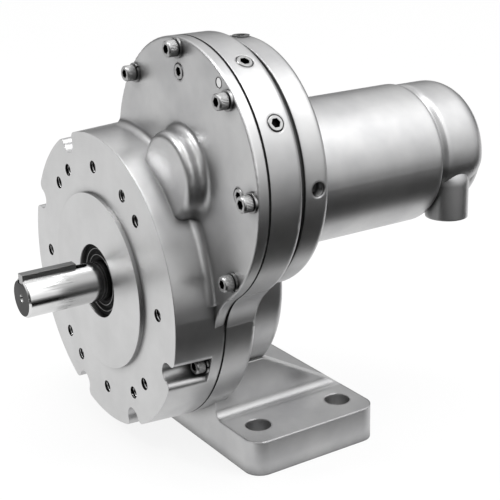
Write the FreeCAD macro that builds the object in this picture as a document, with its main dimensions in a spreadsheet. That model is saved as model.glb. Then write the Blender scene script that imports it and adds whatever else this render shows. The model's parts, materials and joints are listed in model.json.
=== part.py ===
import FreeCAD, Part
import math
import os
import re
import Sketcher

# Air vane motor with a two-stage gear reducer, millimetres.
# The origin is the centre of the mounting flange's front face, on the output shaft's axis.
# -Y points out of the output shaft, +X to the right seen from the shaft, +Z up.
# Three axes run along Y: the output axis through the origin, the drive axis (pinion, planet
# carrier and rotor) up and to the right of it, and the barrel axis straight below the drive axis.

SIZES = [
    # Output shaft and its key
    ("shaft_radius", "12.7", "output shaft, free end"),
    ("shaft_reach", "54", "shaft end in front of the flange face"),
    ("shaft_chamfer", "1.2", "chamfer at the shaft's free end"),
    ("centre_hole_radius", "2.4", "centre drilling in the shaft's end"),
    ("key_width", "6.35", "shaft key, width and height"),
    ("key_length", "36", "shaft key, from the shaft's end"),
    ("keyway_length", "45", "keyway, from the shaft's end"),
    ("keyway_depth", "3.45", "keyway below the top of the shaft"),
    # Front cover
    ("flange_radius", "95.25", "mounting flange"),
    ("pilot_radius", "57.15", "locating pilot"),
    ("pilot_height", "2.7", "pilot in front of the flange face"),
    ("plate_front", "25.7", "front of the bolting plate behind the flange face"),
    ("plate_depth", "7.1", "bolting plate"),
    ("lobe_radius", "97.1", "lower lobe at the parting joint"),
    ("disc_radius", "79.7", "upper disc"),
    ("boss_radius", "26.6", "pinion bearing boss on the cover"),
    ("boss_front", "13.8", "front of the boss behind the flange face"),
    ("boss_edge_round", "4.5", "rounded edge of the boss"),
    ("cover_fillet", "5", "casting fillets of the cover"),
    ("plate_edge_round", "0.9", "rounded front edge of the plate"),
    ("waist_fillet", "8", "fillet where lobe and disc meet"),
    ("flange_hole_circle", "74.6", "tapped holes of the flange, circle radius"),
    ("flange_hole_radius", "4", "tapped holes of the flange"),
    ("flange_hole_depth", "14", "tapped holes of the flange"),
    ("notch_radius", "7", "screw notches in the flange rim"),
    ("notch_round", "4", "rounded mouths of the notches"),
    ("flange_wall", "17", "solid front of the flange"),
    ("hub_wall", "8", "wall round a bearing"),
    ("seal_radius", "24", "oil seal, outside"),
    ("seal_width", "8", "oil seal"),
    ("seal_recess", "3.2", "oil seal behind the pilot face"),
    # Joint of cover and gear housing
    ("gasket_thickness", "0.6", "parting gasket"),
    ("disc_screw_circle", "73.5", "cover screws round the upper disc, circle radius"),
    ("lobe_screw_circle", "90.5", "cover screws round the lower lobe, circle radius"),
    ("screw_radius", "3.175", "cover screw shank"),
    ("screw_head_radius", "4.8", "cover screw head"),
    ("screw_head_height", "6.35", "cover screw head"),
    ("screw_length", "24", "cover screw under its head"),
    ("screw_socket_flats", "4.76", "hexagon socket across flats"),
    ("screw_socket_depth", "3.2", "hexagon socket"),
    ("washer_radius", "5.9", "split lock washer"),
    ("washer_thickness", "1.6", "split lock washer"),
    ("washer_gap", "1.1", "gap of the split lock washer"),
    ("screw_play", "0.3", "clearance round a screw shank"),
    ("thread_play", "0.03", "clearance of a shank in its thread"),
    ("dowel_radius", "2.8", "locating dowel"),
    ("dowel_circle", "73.9", "upper dowel, circle radius"),
    ("dowel_angle", "54.5", "upper dowel, degrees up from +X"),
    ("dowel_length", "12", "locating dowel"),
    # Plugs
    ("plug_radius", "5.1", "pipe plug"),
    ("plug_length", "6.6", "pipe plug"),
    ("plug_flats", "4.8", "hexagon socket of a plug"),
    ("plug_circle", "60", "plugs in the cover plate, circle radius"),
    ("plug_proud", "0.4", "plug standing out of its seat"),
    ("lock_point_radius", "2.4", "dog point of the ring gear's lock screw"),
    ("lock_point_depth", "1.6", "dog point in the ring gear"),
    ("vent_radius", "4.4", "open tapped hole in the planet ring"),
    # Gear housing
    ("band_depth", "22.6", "bolting band of the gear housing"),
    ("band_wall", "4.5", "rear wall of the gear chamber"),
    ("groove_radius", "73", "groove between band and planet ring"),
    ("groove_width", "3.6", "groove between band and planet ring"),
    ("planet_ring_radius", "75.4", "planet ring of the housing"),
    ("planet_ring_depth", "17.4", "planet ring of the housing"),
    ("band_round", "4", "rounded rear edge of the band"),
    ("ring_round", "5", "rounded rear edge of the planet ring"),
    ("column_radius", "80", "rear bearing column"),
    ("column_rear", "88", "rear of the column behind the flange face"),
    ("column_round", "5", "rounded rear edge of the column"),
    ("cover_chamber_radius", "78", "chamber in the cover round the bearing hub"),
    ("lobe_chamber_radius", "84", "gear chamber round the output gear"),
    ("disc_chamber_radius", "68.5", "gear chamber round the pinion"),
    # Foot
    ("foot_bottom", "110.2", "mounting face below the output axis"),
    ("foot_thickness", "23.2", "foot plate"),
    ("foot_half_width", "105.6", "foot plate"),
    ("foot_front", "45.6", "foot plate behind the flange face"),
    ("foot_length", "96.2", "foot plate along the shaft"),
    ("foot_corner", "11", "rounded corners of the foot"),
    ("foot_hole_radius", "8.35", "bolt holes of the foot"),
    ("foot_hole_spread", "83.6", "bolt holes to the left and right"),
    ("foot_hole_front", "17.5", "front bolt holes behind the foot's front"),
    ("foot_hole_pitch", "62.4", "front to rear bolt holes"),
    ("pedestal_half_width", "61", "pedestal between housing and foot"),
    ("pedestal_rib", "13", "side ribs of the pedestal"),
    ("pedestal_fillet", "6", "fillet between pedestal and foot"),
    ("rib_top", "54", "top of the side ribs below the output axis"),
    # Gears
    ("gear_module", "3.175", "output gear and pinion"),
    ("gear_teeth", "50", "output gear"),
    ("pinion_teeth", "16", "pinion"),
    ("gear_width", "14", "output gear"),
    ("pinion_width", "15", "pinion"),
    ("gear_back", "49.5", "rear of the output gear behind the flange face"),
    ("gear_web", "7", "web of the output gear"),
    ("gear_rim", "9", "rim of the output gear under its teeth"),
    ("gear_hub_radius", "24", "hub of the output gear"),
    ("gear_hole_radius", "10", "lightening holes of the output gear"),
    ("gear_key_width", "6", "key of the output gear, width and height"),
    ("gear_key_length", "18", "key of the output gear"),
    ("planet_module", "2.54", "planet stage"),
    ("sun_teeth", "14", "sun gear"),
    ("planet_teeth", "16", "planet gear"),
    ("ring_teeth", "46", "ring gear"),
    ("planet_width", "7", "planet gears"),
    ("ring_gear_radius", "66", "ring gear, outside"),
    ("backlash", "0.24", "play of a pair of teeth"),
    ("drive_angle", "50.3", "drive axis, degrees up from +X"),
    # Bearings
    ("front_bearing_bore", "15", "output shaft bearing, front"),
    ("front_bearing_radius", "31", "output shaft bearing, front"),
    ("front_bearing_width", "16", "output shaft bearing, front"),
    ("rear_bearing_bore", "12.5", "output shaft bearing, rear"),
    ("rear_bearing_radius", "26", "output shaft bearing, rear"),
    ("rear_bearing_width", "15", "output shaft bearing, rear"),
    ("pinion_bearing_bore", "8.5", "pinion shaft bearing, front"),
    ("pinion_bearing_radius", "20", "pinion shaft bearing, front"),
    ("pinion_bearing_width", "12", "pinion shaft bearing, front"),
    ("carrier_bearing_bore", "12.5", "pinion shaft bearing, rear"),
    ("carrier_bearing_radius", "23.5", "pinion shaft bearing, rear"),
    ("carrier_bearing_width", "8", "pinion shaft bearing, rear"),
    ("rotor_bearing_bore", "7.5", "rotor bearings"),
    ("rotor_bearing_radius", "17.5", "rotor bearings"),
    ("rotor_bearing_width", "11", "rotor bearings"),
    ("bearing_gap", "0.27", "share of a bearing's section taken by the ball gap"),
    ("snap_ring_thickness", "1.5", "retaining rings"),
    ("snap_ring_height", "3", "retaining rings, radial"),
    ("snap_ring_opening", "12", "gap of a retaining ring"),
    # Planet carrier
    ("carrier_radius", "47", "planet carrier"),
    ("carrier_thickness", "4", "planet carrier"),
    ("planet_pin_radius", "5", "planet pins"),
    ("planet_bush_wall", "2", "planet bushes"),
    ("running_fit", "0.05", "radial play of a shaft in its bush"),
    ("side_play", "0.6", "play along an axis beside a turning part"),
    # Vane motor
    ("barrel_radius", "45", "motor barrel"),
    ("barrel_drop", "13.3", "barrel axis below the rotor axis"),
    ("casting_gap", "0.4", "gap between the barrel and the column beside it"),
    ("barrel_rear", "190", "rear of the barrel behind the flange face"),
    ("barrel_round", "5", "rounded rear edge of the barrel"),
    ("barrel_front_wall", "6", "front wall of the barrel"),
    ("liner_radius", "28.2", "cylinder liner, outside"),
    ("liner_wall", "2.7", "cylinder liner"),
    ("eccentricity", "3.5", "liner axis below the rotor axis"),
    ("end_plate", "12", "end plates of the cylinder"),
    ("rotor_gap", "0.1", "rotor to liner at the top"),
    ("end_gap", "0.1", "rotor to end plates"),
    ("rotor_core_radius", "7.5", "rotor shaft"),
    ("vane_count", "6", "vanes"),
    ("vane_thickness", "3.2", "vanes"),
    ("vane_height", "13", "vanes, radial"),
    ("vane_play", "0.05", "vane in its slot, each side"),
    ("passage_radius", "5.5", "air passages of the barrel"),
    ("passage_spread", "26", "air passages left and right of the barrel axis"),
    ("passage_drop", "21.3", "air passages below the barrel axis"),
    ("motor_screw_circle", "38", "screws that hold the barrel, circle radius"),
    ("motor_screw_length", "15", "screws that hold the barrel"),
    ("motor_screw_head", "5.6", "countersunk head of these screws, radius"),
    ("motor_seal_radius", "13.5", "rotor shaft seal, outside"),
    ("motor_seal_width", "7", "rotor shaft seal"),
    # Rear cap
    ("cap_radius", "40", "rear cap"),
    ("cap_rear", "231", "rear of the cap behind the flange face"),
    ("cap_round", "13", "rounded rear edge of the cap"),
    ("cap_wall", "7", "wall of the cap"),
    ("port_spread", "30", "air ports left and right of the barrel axis"),
    ("port_back", "14.8", "air ports behind the barrel's rear"),
    ("port_boss_radius", "13.8", "bosses of the air ports"),
    ("port_radius", "9.3", "air ports"),
    ("port_bottom", "39", "mouths of the air ports below the barrel axis"),
    ("port_depth", "17", "tapped length of an air port"),
    ("port_shoulder", "16", "tops of the port bosses below the barrel axis"),
    ("port_fillet", "3.5", "fillet between a port boss and the cap"),
    ("cap_screw_circle", "33.5", "cap screws, circle radius"),
]

PLACES = [
    ("parting", "plate_front + plate_depth", "rear of the front cover"),
    ("housing_front", "parting + gasket_thickness", "front of the gear housing"),
    ("band_rear", "housing_front + band_depth", "rear of the bolting band"),
    ("chamber_back", "band_rear - band_wall", "rear wall of the gear chamber"),
    ("ring_front", "band_rear + groove_width", "front of the planet ring"),
    ("ring_rear", "ring_front + planet_ring_depth", "rear of the planet ring and front of the barrel"),
    ("centre_distance", "gear_module * (gear_teeth + pinion_teeth) / 2", "output axis to drive axis"),
    ("drive_x", "centre_distance * cos(drive_angle)", "drive axis"),
    ("drive_z", "centre_distance * sin(drive_angle)", "drive axis"),
    ("barrel_z", "drive_z - barrel_drop", "barrel axis"),
    ("liner_z", "drive_z - eccentricity", "liner axis"),
    ("seal_front", "seal_recess - pilot_height", "front of the oil seal"),
    ("seal_rear", "seal_front + seal_width", "rear of the oil seal"),
    ("front_bearing_front", "seal_rear + 1.5 * shaft_chamfer", "front of the front bearing"),
    ("front_bearing_rear", "front_bearing_front + front_bearing_width", "rear of the front bearing"),
    ("cover_hub_rear", "front_bearing_rear + 2.5 * snap_ring_thickness", "rear of the cover's hub"),
    ("gear_front", "gear_back - gear_width", "front of the output gear"),
    ("rear_bearing_front", "chamber_back + 2.5", "front of the rear bearing"),
    ("rear_bearing_rear", "rear_bearing_front + rear_bearing_width", "rear of the rear bearing"),
    ("pinion_bearing_front", "boss_front + 3.5", "front of the pinion shaft's front bearing"),
    ("pinion_bearing_rear", "pinion_bearing_front + pinion_bearing_width", "its rear"),
    ("pinion_front", "gear_front - (pinion_width - gear_width) / 2", "front of the pinion"),
    ("pinion_back", "pinion_front + pinion_width", "rear of the pinion"),
    ("plate_rear", "chamber_back + carrier_bearing_width", "rear of the intermediate plate"),
    ("carrier_front", "plate_rear + side_play", "front of the planet carrier"),
    ("carrier_back", "carrier_front + carrier_thickness", "rear of the planet carrier"),
    ("planet_front", "carrier_back + side_play", "front of the planet gears"),
    ("planet_back", "planet_front + planet_width", "rear of the planet gears"),
    ("planet_chamber_back", "planet_back + side_play", "rear wall of the planet chamber"),
    ("planet_circle", "planet_module * (sun_teeth + planet_teeth) / 2", "planet pins, circle radius"),
    ("end_plate_front", "ring_rear + barrel_front_wall", "front of the front end plate"),
    ("liner_front", "end_plate_front + end_plate", "front of the liner"),
    ("liner_rear", "end_plate_back - end_plate", "rear of the liner"),
    ("end_plate_back", "barrel_rear - 3", "rear of the rear end plate"),
    ("rotor_radius", "liner_radius - liner_wall - eccentricity - rotor_gap", "rotor"),
    ("cap_front", "barrel_rear + gasket_thickness", "front of the rear cap"),
    ("port_y", "barrel_rear + port_back", "axis of the air ports"),
    ("screw_seat", "plate_front - washer_thickness", "underside of a cover screw's head"),
]

SIZE_NAMES = {alias for alias, content, note in SIZES}
PLACE_NAMES = {alias for alias, content, note in PLACES}
ALONG_Y = FreeCAD.Rotation(FreeCAD.Vector(1, 0, 0), -90)
TOWARDS_FRONT = FreeCAD.Rotation(FreeCAD.Vector(1, 0, 0), 90)
UPRIGHT = FreeCAD.Rotation()
# Cover screws: degrees up from +X, round the upper disc and round the lower lobe
DISC_SCREW_ANGLES = (-45, 0, 45, 90, 135)
LOBE_NOTCH_COUNT = 6
LOBE_NOTCH_FIRST = 112.5
LOBE_NOTCH_STEP = 45
COVER_PLUG_ANGLES = (0, 90)
BAND_PLUG_ANGLES = (30, 60)
CAP_SCREW_ANGLES = (5, 175, 250, 290)
MOTOR_SCREW_ANGLES = (18, 162, 238, 302)
PLANET_ANGLES = (90, 210, 330)

doc = FreeCAD.newDocument("air_vane_motor")
nodes = []


def link(text):
    """Puts the sheet's name in front of each size or place that an expression names."""
    def with_sheet(match):
        word = match.group()
        if word in SIZE_NAMES:
            return "Sizes." + word
        if word in PLACE_NAMES:
            return "Places." + word
        return word
    return re.sub(r"[a-z][a-z_]*", with_sheet, text)


def fill_sheet(name, rows, prefix=""):
    """Writes rows of alias, content and note into a new sheet."""
    sheet = doc.addObject("Spreadsheet::Sheet", name)
    for row, (alias, content, note) in enumerate(rows, start=1):
        sheet.set(f"A{row}", note)
        sheet.setAlias(f"B{row}", alias)
    for row, (alias, content, note) in enumerate(rows, start=1):
        sheet.set(f"B{row}", prefix + (link(content) if prefix else content))
    doc.recompute()
    return sheet


sizes = fill_sheet("Sizes", SIZES)
places = fill_sheet("Places", PLACES, prefix="=")


def value(alias):
    """The number behind a size or a place."""
    sheet = sizes if alias in SIZE_NAMES else places
    return float(sheet.get(alias))


def bind(item, **expressions):
    """Ties properties of an object to the sheets."""
    for name, text in expressions.items():
        item.setExpression(name, link(str(text)))
    return item


def put(item, x, y, z, turn=UPRIGHT):
    """Places an object, with its position tied to the sheets."""
    item.Placement = FreeCAD.Placement(FreeCAD.Vector(0, 0, 0), turn)
    for axis, text in (("x", x), ("y", y), ("z", z)):
        item.setExpression(f"Placement.Base.{axis}", link(str(text)))
    return item


def node(item, label):
    """Marks an object as a finished sub-part and gives it its name."""
    item.Label = label
    nodes.append(item)
    return item


def new_body(label, x="0", z="0"):
    """A body whose own Y axis is the piece's axis."""
    body = doc.addObject("PartDesign::Body", "body_" + label)
    put(body, x, "0", z)
    return node(body, label)


def origin_item(body, role):
    """A plane or an axis of a body's own origin."""
    return next(item for item in body.Origin.OriginFeatures if item.Role == role)


def outline(body, label, role, corners):
    """A closed sketch of straight lines, each corner tied to the sheets."""
    sketch = body.newObject("Sketcher::SketchObject", label)
    sketch.AttachmentSupport = [(origin_item(body, role), "")]
    sketch.MapMode = "FlatFace"
    count = len(corners)
    start = [FreeCAD.Vector(math.cos(math.tau * i / count), math.sin(math.tau * i / count), 0)
             for i in range(count)]
    for i in range(count):
        sketch.addGeometry(Part.LineSegment(start[i], start[(i + 1) % count]), False)
    for i in range(count):
        sketch.addConstraint(Sketcher.Constraint("Coincident", i, 2, (i + 1) % count, 1))
    for i, (across, along) in enumerate(corners):
        for kind, text, first in (("DistanceX", across, start[i].x), ("DistanceY", along, start[i].y)):
            number = sketch.addConstraint(Sketcher.Constraint(kind, -1, 1, i, 1, first))
            sketch.setExpression(f"Constraints[{number}]", link(str(text)))
    return sketch


def turned(label, half_section, x="0", z="0"):
    """A turned piece: its half section, as radius and Y pairs, revolved about its own Y axis."""
    body = new_body(label, x, z)
    sketch = outline(body, label + "_section", "XY_Plane", half_section)
    turn = body.newObject("PartDesign::Revolution", label + "_turn")
    turn.Profile = sketch
    turn.ReferenceAxis = (sketch, ["V_Axis"])
    turn.Angle = 360
    return body


def ring(label, inner, outer, front, rear, x="0", z="0"):
    """A plain ring about a Y axis."""
    return turned(label, [(inner, front), (outer, front), (outer, rear), (inner, rear)], x, z)


def solid(body, label, kind, x, y, z, turn=UPRIGHT, **expressions):
    """A primitive added to a body, or cut from it."""
    item = body.newObject("PartDesign::" + kind, label)
    bind(item, **expressions)
    return put(item, x, y, z, turn)


def bar(body, label, radius, front, rear, x="0", z="0", cut=False):
    """A cylinder along Y, added or cut."""
    kind = "SubtractiveCylinder" if cut else "AdditiveCylinder"
    return solid(body, label, kind, x, front, z, ALONG_Y, Radius=radius, Height=f"({rear}) - ({front})")


def round_edges(body, label, radius, chosen):
    """A fillet on every edge of a body's last feature that passes a test."""
    doc.recompute()
    base = body.Tip
    names = [f"Edge{i}" for i, edge in enumerate(base.Shape.Edges, start=1) if chosen(edge)]
    if not names:
        raise RuntimeError(f"{label}: no edge found")
    fillet = body.newObject("PartDesign::Fillet", label)
    fillet.Base = (base, names)
    bind(fillet, Radius=radius)
    return fillet


def near(a, b, slack=0.02):
    return abs(a - b) < slack


def at_waist(edge):
    """True for the edges along Y where the outlines of lobe and disc cross."""
    box = edge.BoundBox
    if box.YLength < 0.4 or not (near(box.XLength, 0, 0.5) and near(box.ZLength, 0, 0.5)):
        return False
    x, z = box.Center.x, box.Center.z
    from_drive = math.hypot(x - value("drive_x"), z - value("drive_z"))
    return near(from_drive, value("disc_radius")) and math.hypot(x, z) > value("flange_radius") - 1


def lies_at(edge, y, radius=None, x=0.0, z=0.0):
    """True for an edge in the plane y, on a circle about a Y axis if a radius is given."""
    box = edge.BoundBox
    if not (near(box.YMin, y) and near(box.YMax, y)):
        return False
    if radius is None:
        return True
    curve = edge.Curve
    if not isinstance(curve, Part.Circle):
        return False
    return near(curve.Radius, radius) and near(curve.Center.x, x) and near(curve.Center.z, z)


def on_circle(radius, angle, x="0", z="0"):
    """Expressions for a point on a circle about a Y axis."""
    return f"{x} + ({radius}) * cos({angle})", f"{z} + ({radius}) * sin({angle})"


def copies(label, master, spots):
    """Linked copies of one piece as one sub-part: each spot is x, y, z and a turn."""
    parts = []
    for number, (x, y, z, turn) in enumerate(spots, start=1):
        part = doc.addObject("App::Link", f"{label}_{number}")
        part.LinkedObject = master
        part.LinkTransform = False
        parts.append(put(part, x, y, z, turn))
    return gathered(label, parts)


def gathered(label, parts):
    """Several like pieces as one sub-part."""
    group = doc.addObject("Part::Compound", "group_" + label)
    group.Links = parts
    return node(group, label)


# Teeth

def involute(angle):
    return math.tan(angle) - angle


def tooth_outline(teeth, module, tip, root, thinning, phase):
    """Corners of a gear's outline: teeth with involute flanks, a tooth's middle at the phase angle.
    tip and root are radii, and thinning is taken off each tooth's width at the pitch circle."""
    pressure = math.radians(20)
    pitch = module * teeth / 2
    base = pitch * math.cos(pressure)
    half = math.pi / (2 * teeth) - thinning / (2 * pitch) + involute(pressure)
    start = max(base, root)
    radii = [start, (start + 2 * tip) / 3, tip]
    if root < base:
        radii.insert(0, root)
    flank = []
    for radius in radii:
        slope = math.acos(min(1.0, base / max(radius, base)))
        flank.append((radius, half - involute(slope)))
    corners = []
    for number in range(teeth):
        middle = phase + math.tau * number / teeth
        for radius, away in flank:
            corners.append((radius, middle - away))
        for radius, away in reversed(flank):
            corners.append((radius, middle + away))
    return [FreeCAD.Vector(radius * math.cos(angle), radius * math.sin(angle), 0)
            for radius, angle in corners]


def toothed_blank(label, corners, width, x, back, z):
    """The outline of a gear drawn out towards the front from its rear face."""
    wire = Part.makePolygon(corners + [corners[0]])
    profile = doc.addObject("Part::Feature", label + "_outline")
    profile.Shape = Part.Face(wire)
    blank = doc.addObject("Part::Extrusion", label + "_blank")
    blank.Base = profile
    blank.DirMode = "Custom"
    blank.Dir = FreeCAD.Vector(0, 0, 1)
    blank.Solid = True
    bind(blank, LengthFwd=width)
    return put(blank, x, back, z, TOWARDS_FRONT)


def part_bar(label, radius, front, rear, x="0", z="0"):
    """A cylinder along Y outside any body."""
    item = doc.addObject("Part::Cylinder", label)
    bind(item, Radius=radius, Height=f"({rear}) - ({front})")
    return put(item, x, front, z, ALONG_Y)


def part_cut(label, base, tool):
    item = doc.addObject("Part::Cut", label)
    item.Base = base
    item.Tool = tool
    return item


def part_fuse(label, pieces):
    item = doc.addObject("Part::MultiFuse", label)
    item.Shapes = pieces
    return item


drive = math.radians(value("drive_angle"))
gear_teeth = int(value("gear_teeth"))
pinion_teeth = int(value("pinion_teeth"))
sun_teeth = int(value("sun_teeth"))
planet_teeth = int(value("planet_teeth"))
ring_teeth = int(value("ring_teeth"))
# A tooth of the output gear and a gap of the pinion meet on the line between their axes
gear_phase = drive
pinion_phase = drive + math.pi + math.pi / pinion_teeth
sun_phase = 0.0


def planet_phase(place):
    """A planet at this place round the sun has a gap where the sun has a tooth."""
    return place + math.pi - math.pi / planet_teeth + (place - sun_phase) * sun_teeth / planet_teeth


def ring_phase(place):
    """The middle of a gap of the ring gear, facing a tooth of the planet at this place."""
    return place - planet_teeth * (place - planet_phase(place)) / ring_teeth


def external_corners(teeth, module, phase):
    pitch = module * teeth / 2
    return tooth_outline(teeth, module, pitch + module, pitch - 1.25 * module, value("backlash") / 2, phase)


# Front cover

def make_front_cover():
    body = new_body("front_cover")
    solid(body, "drum", "AdditiveCone", "0", "0", "0", ALONG_Y,
          Radius1="flange_radius", Radius2="lobe_radius", Height="parting")
    bar(body, "cover_plate", "disc_radius", "plate_front", "parting", "drive_x", "drive_z")
    bar(body, "cover_boss", "boss_radius", "boss_front", "parting", "drive_x", "drive_z")
    doc.recompute()
    x, z = value("drive_x"), value("drive_z")
    plate, face = value("plate_front"), value("boss_front")
    round_edges(body, "boss_edge", "boss_edge_round",
                lambda edge: lies_at(edge, face, value("boss_radius"), x, z))
    outer = value("disc_radius")
    round_edges(body, "cover_fillets", "cover_fillet",
                lambda edge: lies_at(edge, plate) and not lies_at(edge, plate, outer, x, z))
    round_edges(body, "plate_edge", "plate_edge_round", lambda edge: lies_at(edge, plate, outer, x, z))
    bar(body, "pilot", "pilot_radius", "-pilot_height", "1")
    return body


def finish_front_cover(body):
    bar(body, "seal_seat", "seal_radius", "-pilot_height - 1", "seal_rear", cut=True)
    bar(body, "shaft_opening", "front_bearing_bore + 4", "seal_front", "front_bearing_rear", cut=True)
    bar(body, "front_bearing_seat", "front_bearing_radius", "front_bearing_front", "parting + 1", cut=True)
    bar(body, "snap_ring_groove", "front_bearing_radius + snap_ring_height / 2",
        "front_bearing_rear", "front_bearing_rear + snap_ring_thickness", cut=True)
    # The gear chamber reaches into the flange round the bearing hub
    section = outline(body, "cover_chamber_section", "XY_Plane", [
        ("front_bearing_radius + hub_wall", "flange_wall"),
        ("cover_chamber_radius", "flange_wall"),
        ("cover_chamber_radius", "parting + 1"),
        ("front_bearing_radius", "parting + 1"),
        ("front_bearing_radius", "cover_hub_rear"),
        ("front_bearing_radius + hub_wall", "cover_hub_rear")])
    groove = body.newObject("PartDesign::Groove", "cover_chamber")
    groove.Profile = section
    groove.ReferenceAxis = (section, ["V_Axis"])
    groove.Angle = 360
    bar(body, "pinion_bearing_seat", "pinion_bearing_radius", "pinion_bearing_front", "parting + 1",
        "drive_x", "drive_z", cut=True)
    # Tapped holes of the flange: eight and six, two of them shared
    hole = bar(body, "flange_hole", "flange_hole_radius", "-1", "flange_hole_depth",
               "flange_hole_circle", "0", cut=True)
    for label, count in (("flange_holes_by_eight", 8), ("flange_holes_by_six", 6)):
        pattern = body.newObject("PartDesign::PolarPattern", label)
        pattern.Originals = [hole]
        pattern.Axis = (origin_item(body, "Y_Axis"), [""])
        pattern.Angle = 360
        pattern.Occurrences = count
        body.Tip = pattern
        doc.recompute()
    # Screw notches along the rim, each a round bottom and an open mouth
    x, z = on_circle("lobe_screw_circle", LOBE_NOTCH_FIRST)
    bottom = bar(body, "notch_bottom", "notch_radius", "-1", "plate_front", x, z, cut=True)
    patterned(body, "notch_bottoms", bottom)
    corners = []
    for reach, side in (("lobe_screw_circle", 1), ("lobe_screw_circle", -1),
                        ("lobe_radius + notch_radius", -1), ("lobe_radius + notch_radius", 1)):
        x, z = on_circle(reach, LOBE_NOTCH_FIRST)
        corners.append((f"{x} + {side} * notch_radius * sin({LOBE_NOTCH_FIRST})",
                        f"{z} - {side} * notch_radius * cos({LOBE_NOTCH_FIRST})"))
    mouth = body.newObject("PartDesign::Pocket", "notch_mouth")
    mouth.Profile = outline(body, "notch_mouth_section", "XZ_Plane", corners)
    mouth.Midplane = True
    bind(mouth, Length="2 * plate_front")
    patterned(body, "notch_mouths", mouth)
    round_edges(body, "notch_mouth_edges", "notch_round", at_notch_mouth)
    # Holes through the bolting plate
    for number, (x, z) in enumerate(cover_screw_spots(), start=1):
        bar(body, f"screw_hole_{number}", "screw_radius + screw_play", "plate_front - 1", "parting + 1",
            x, z, cut=True)
    for number, angle in enumerate(COVER_PLUG_ANGLES, start=1):
        x, z = on_circle("plug_circle", angle, "drive_x", "drive_z")
        bar(body, f"plug_hole_{number}", "plug_radius + thread_play", "plate_front - 1",
            "parting + 1", x, z, cut=True)
    x, z = on_circle("dowel_circle", "dowel_angle", "drive_x", "drive_z")
    bar(body, "dowel_hole", "dowel_radius + thread_play", "plate_front - 1", "parting + 1", x, z, cut=True)


def at_notch_mouth(edge):
    """True for the long edges where a notch's sides meet the drum."""
    box = edge.BoundBox
    if box.YLength < value("plate_front") / 2:
        return False
    middle = edge.valueAt((edge.FirstParameter + edge.LastParameter) / 2)
    out = math.hypot(middle.x, middle.z)
    return value("flange_radius") - 1 < out < value("lobe_radius") + 0.5


def patterned(body, label, feature):
    """Repeats a notch feature round the rim, against the clock seen from the shaft."""
    pattern = body.newObject("PartDesign::PolarPattern", label)
    pattern.Originals = [feature]
    pattern.Axis = (origin_item(body, "Y_Axis"), [""])
    pattern.Reversed = True
    pattern.Angle = LOBE_NOTCH_STEP * (LOBE_NOTCH_COUNT - 1)
    pattern.Occurrences = LOBE_NOTCH_COUNT
    body.Tip = pattern
    doc.recompute()


def cover_screw_spots():
    """Expressions for the axes of the cover screws."""
    spots = [on_circle("disc_screw_circle", angle, "drive_x", "drive_z") for angle in DISC_SCREW_ANGLES]
    for step in range(LOBE_NOTCH_COUNT):
        spots.append(on_circle("lobe_screw_circle", LOBE_NOTCH_FIRST + LOBE_NOTCH_STEP * step))
    return spots


# Gear housing with its foot

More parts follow.
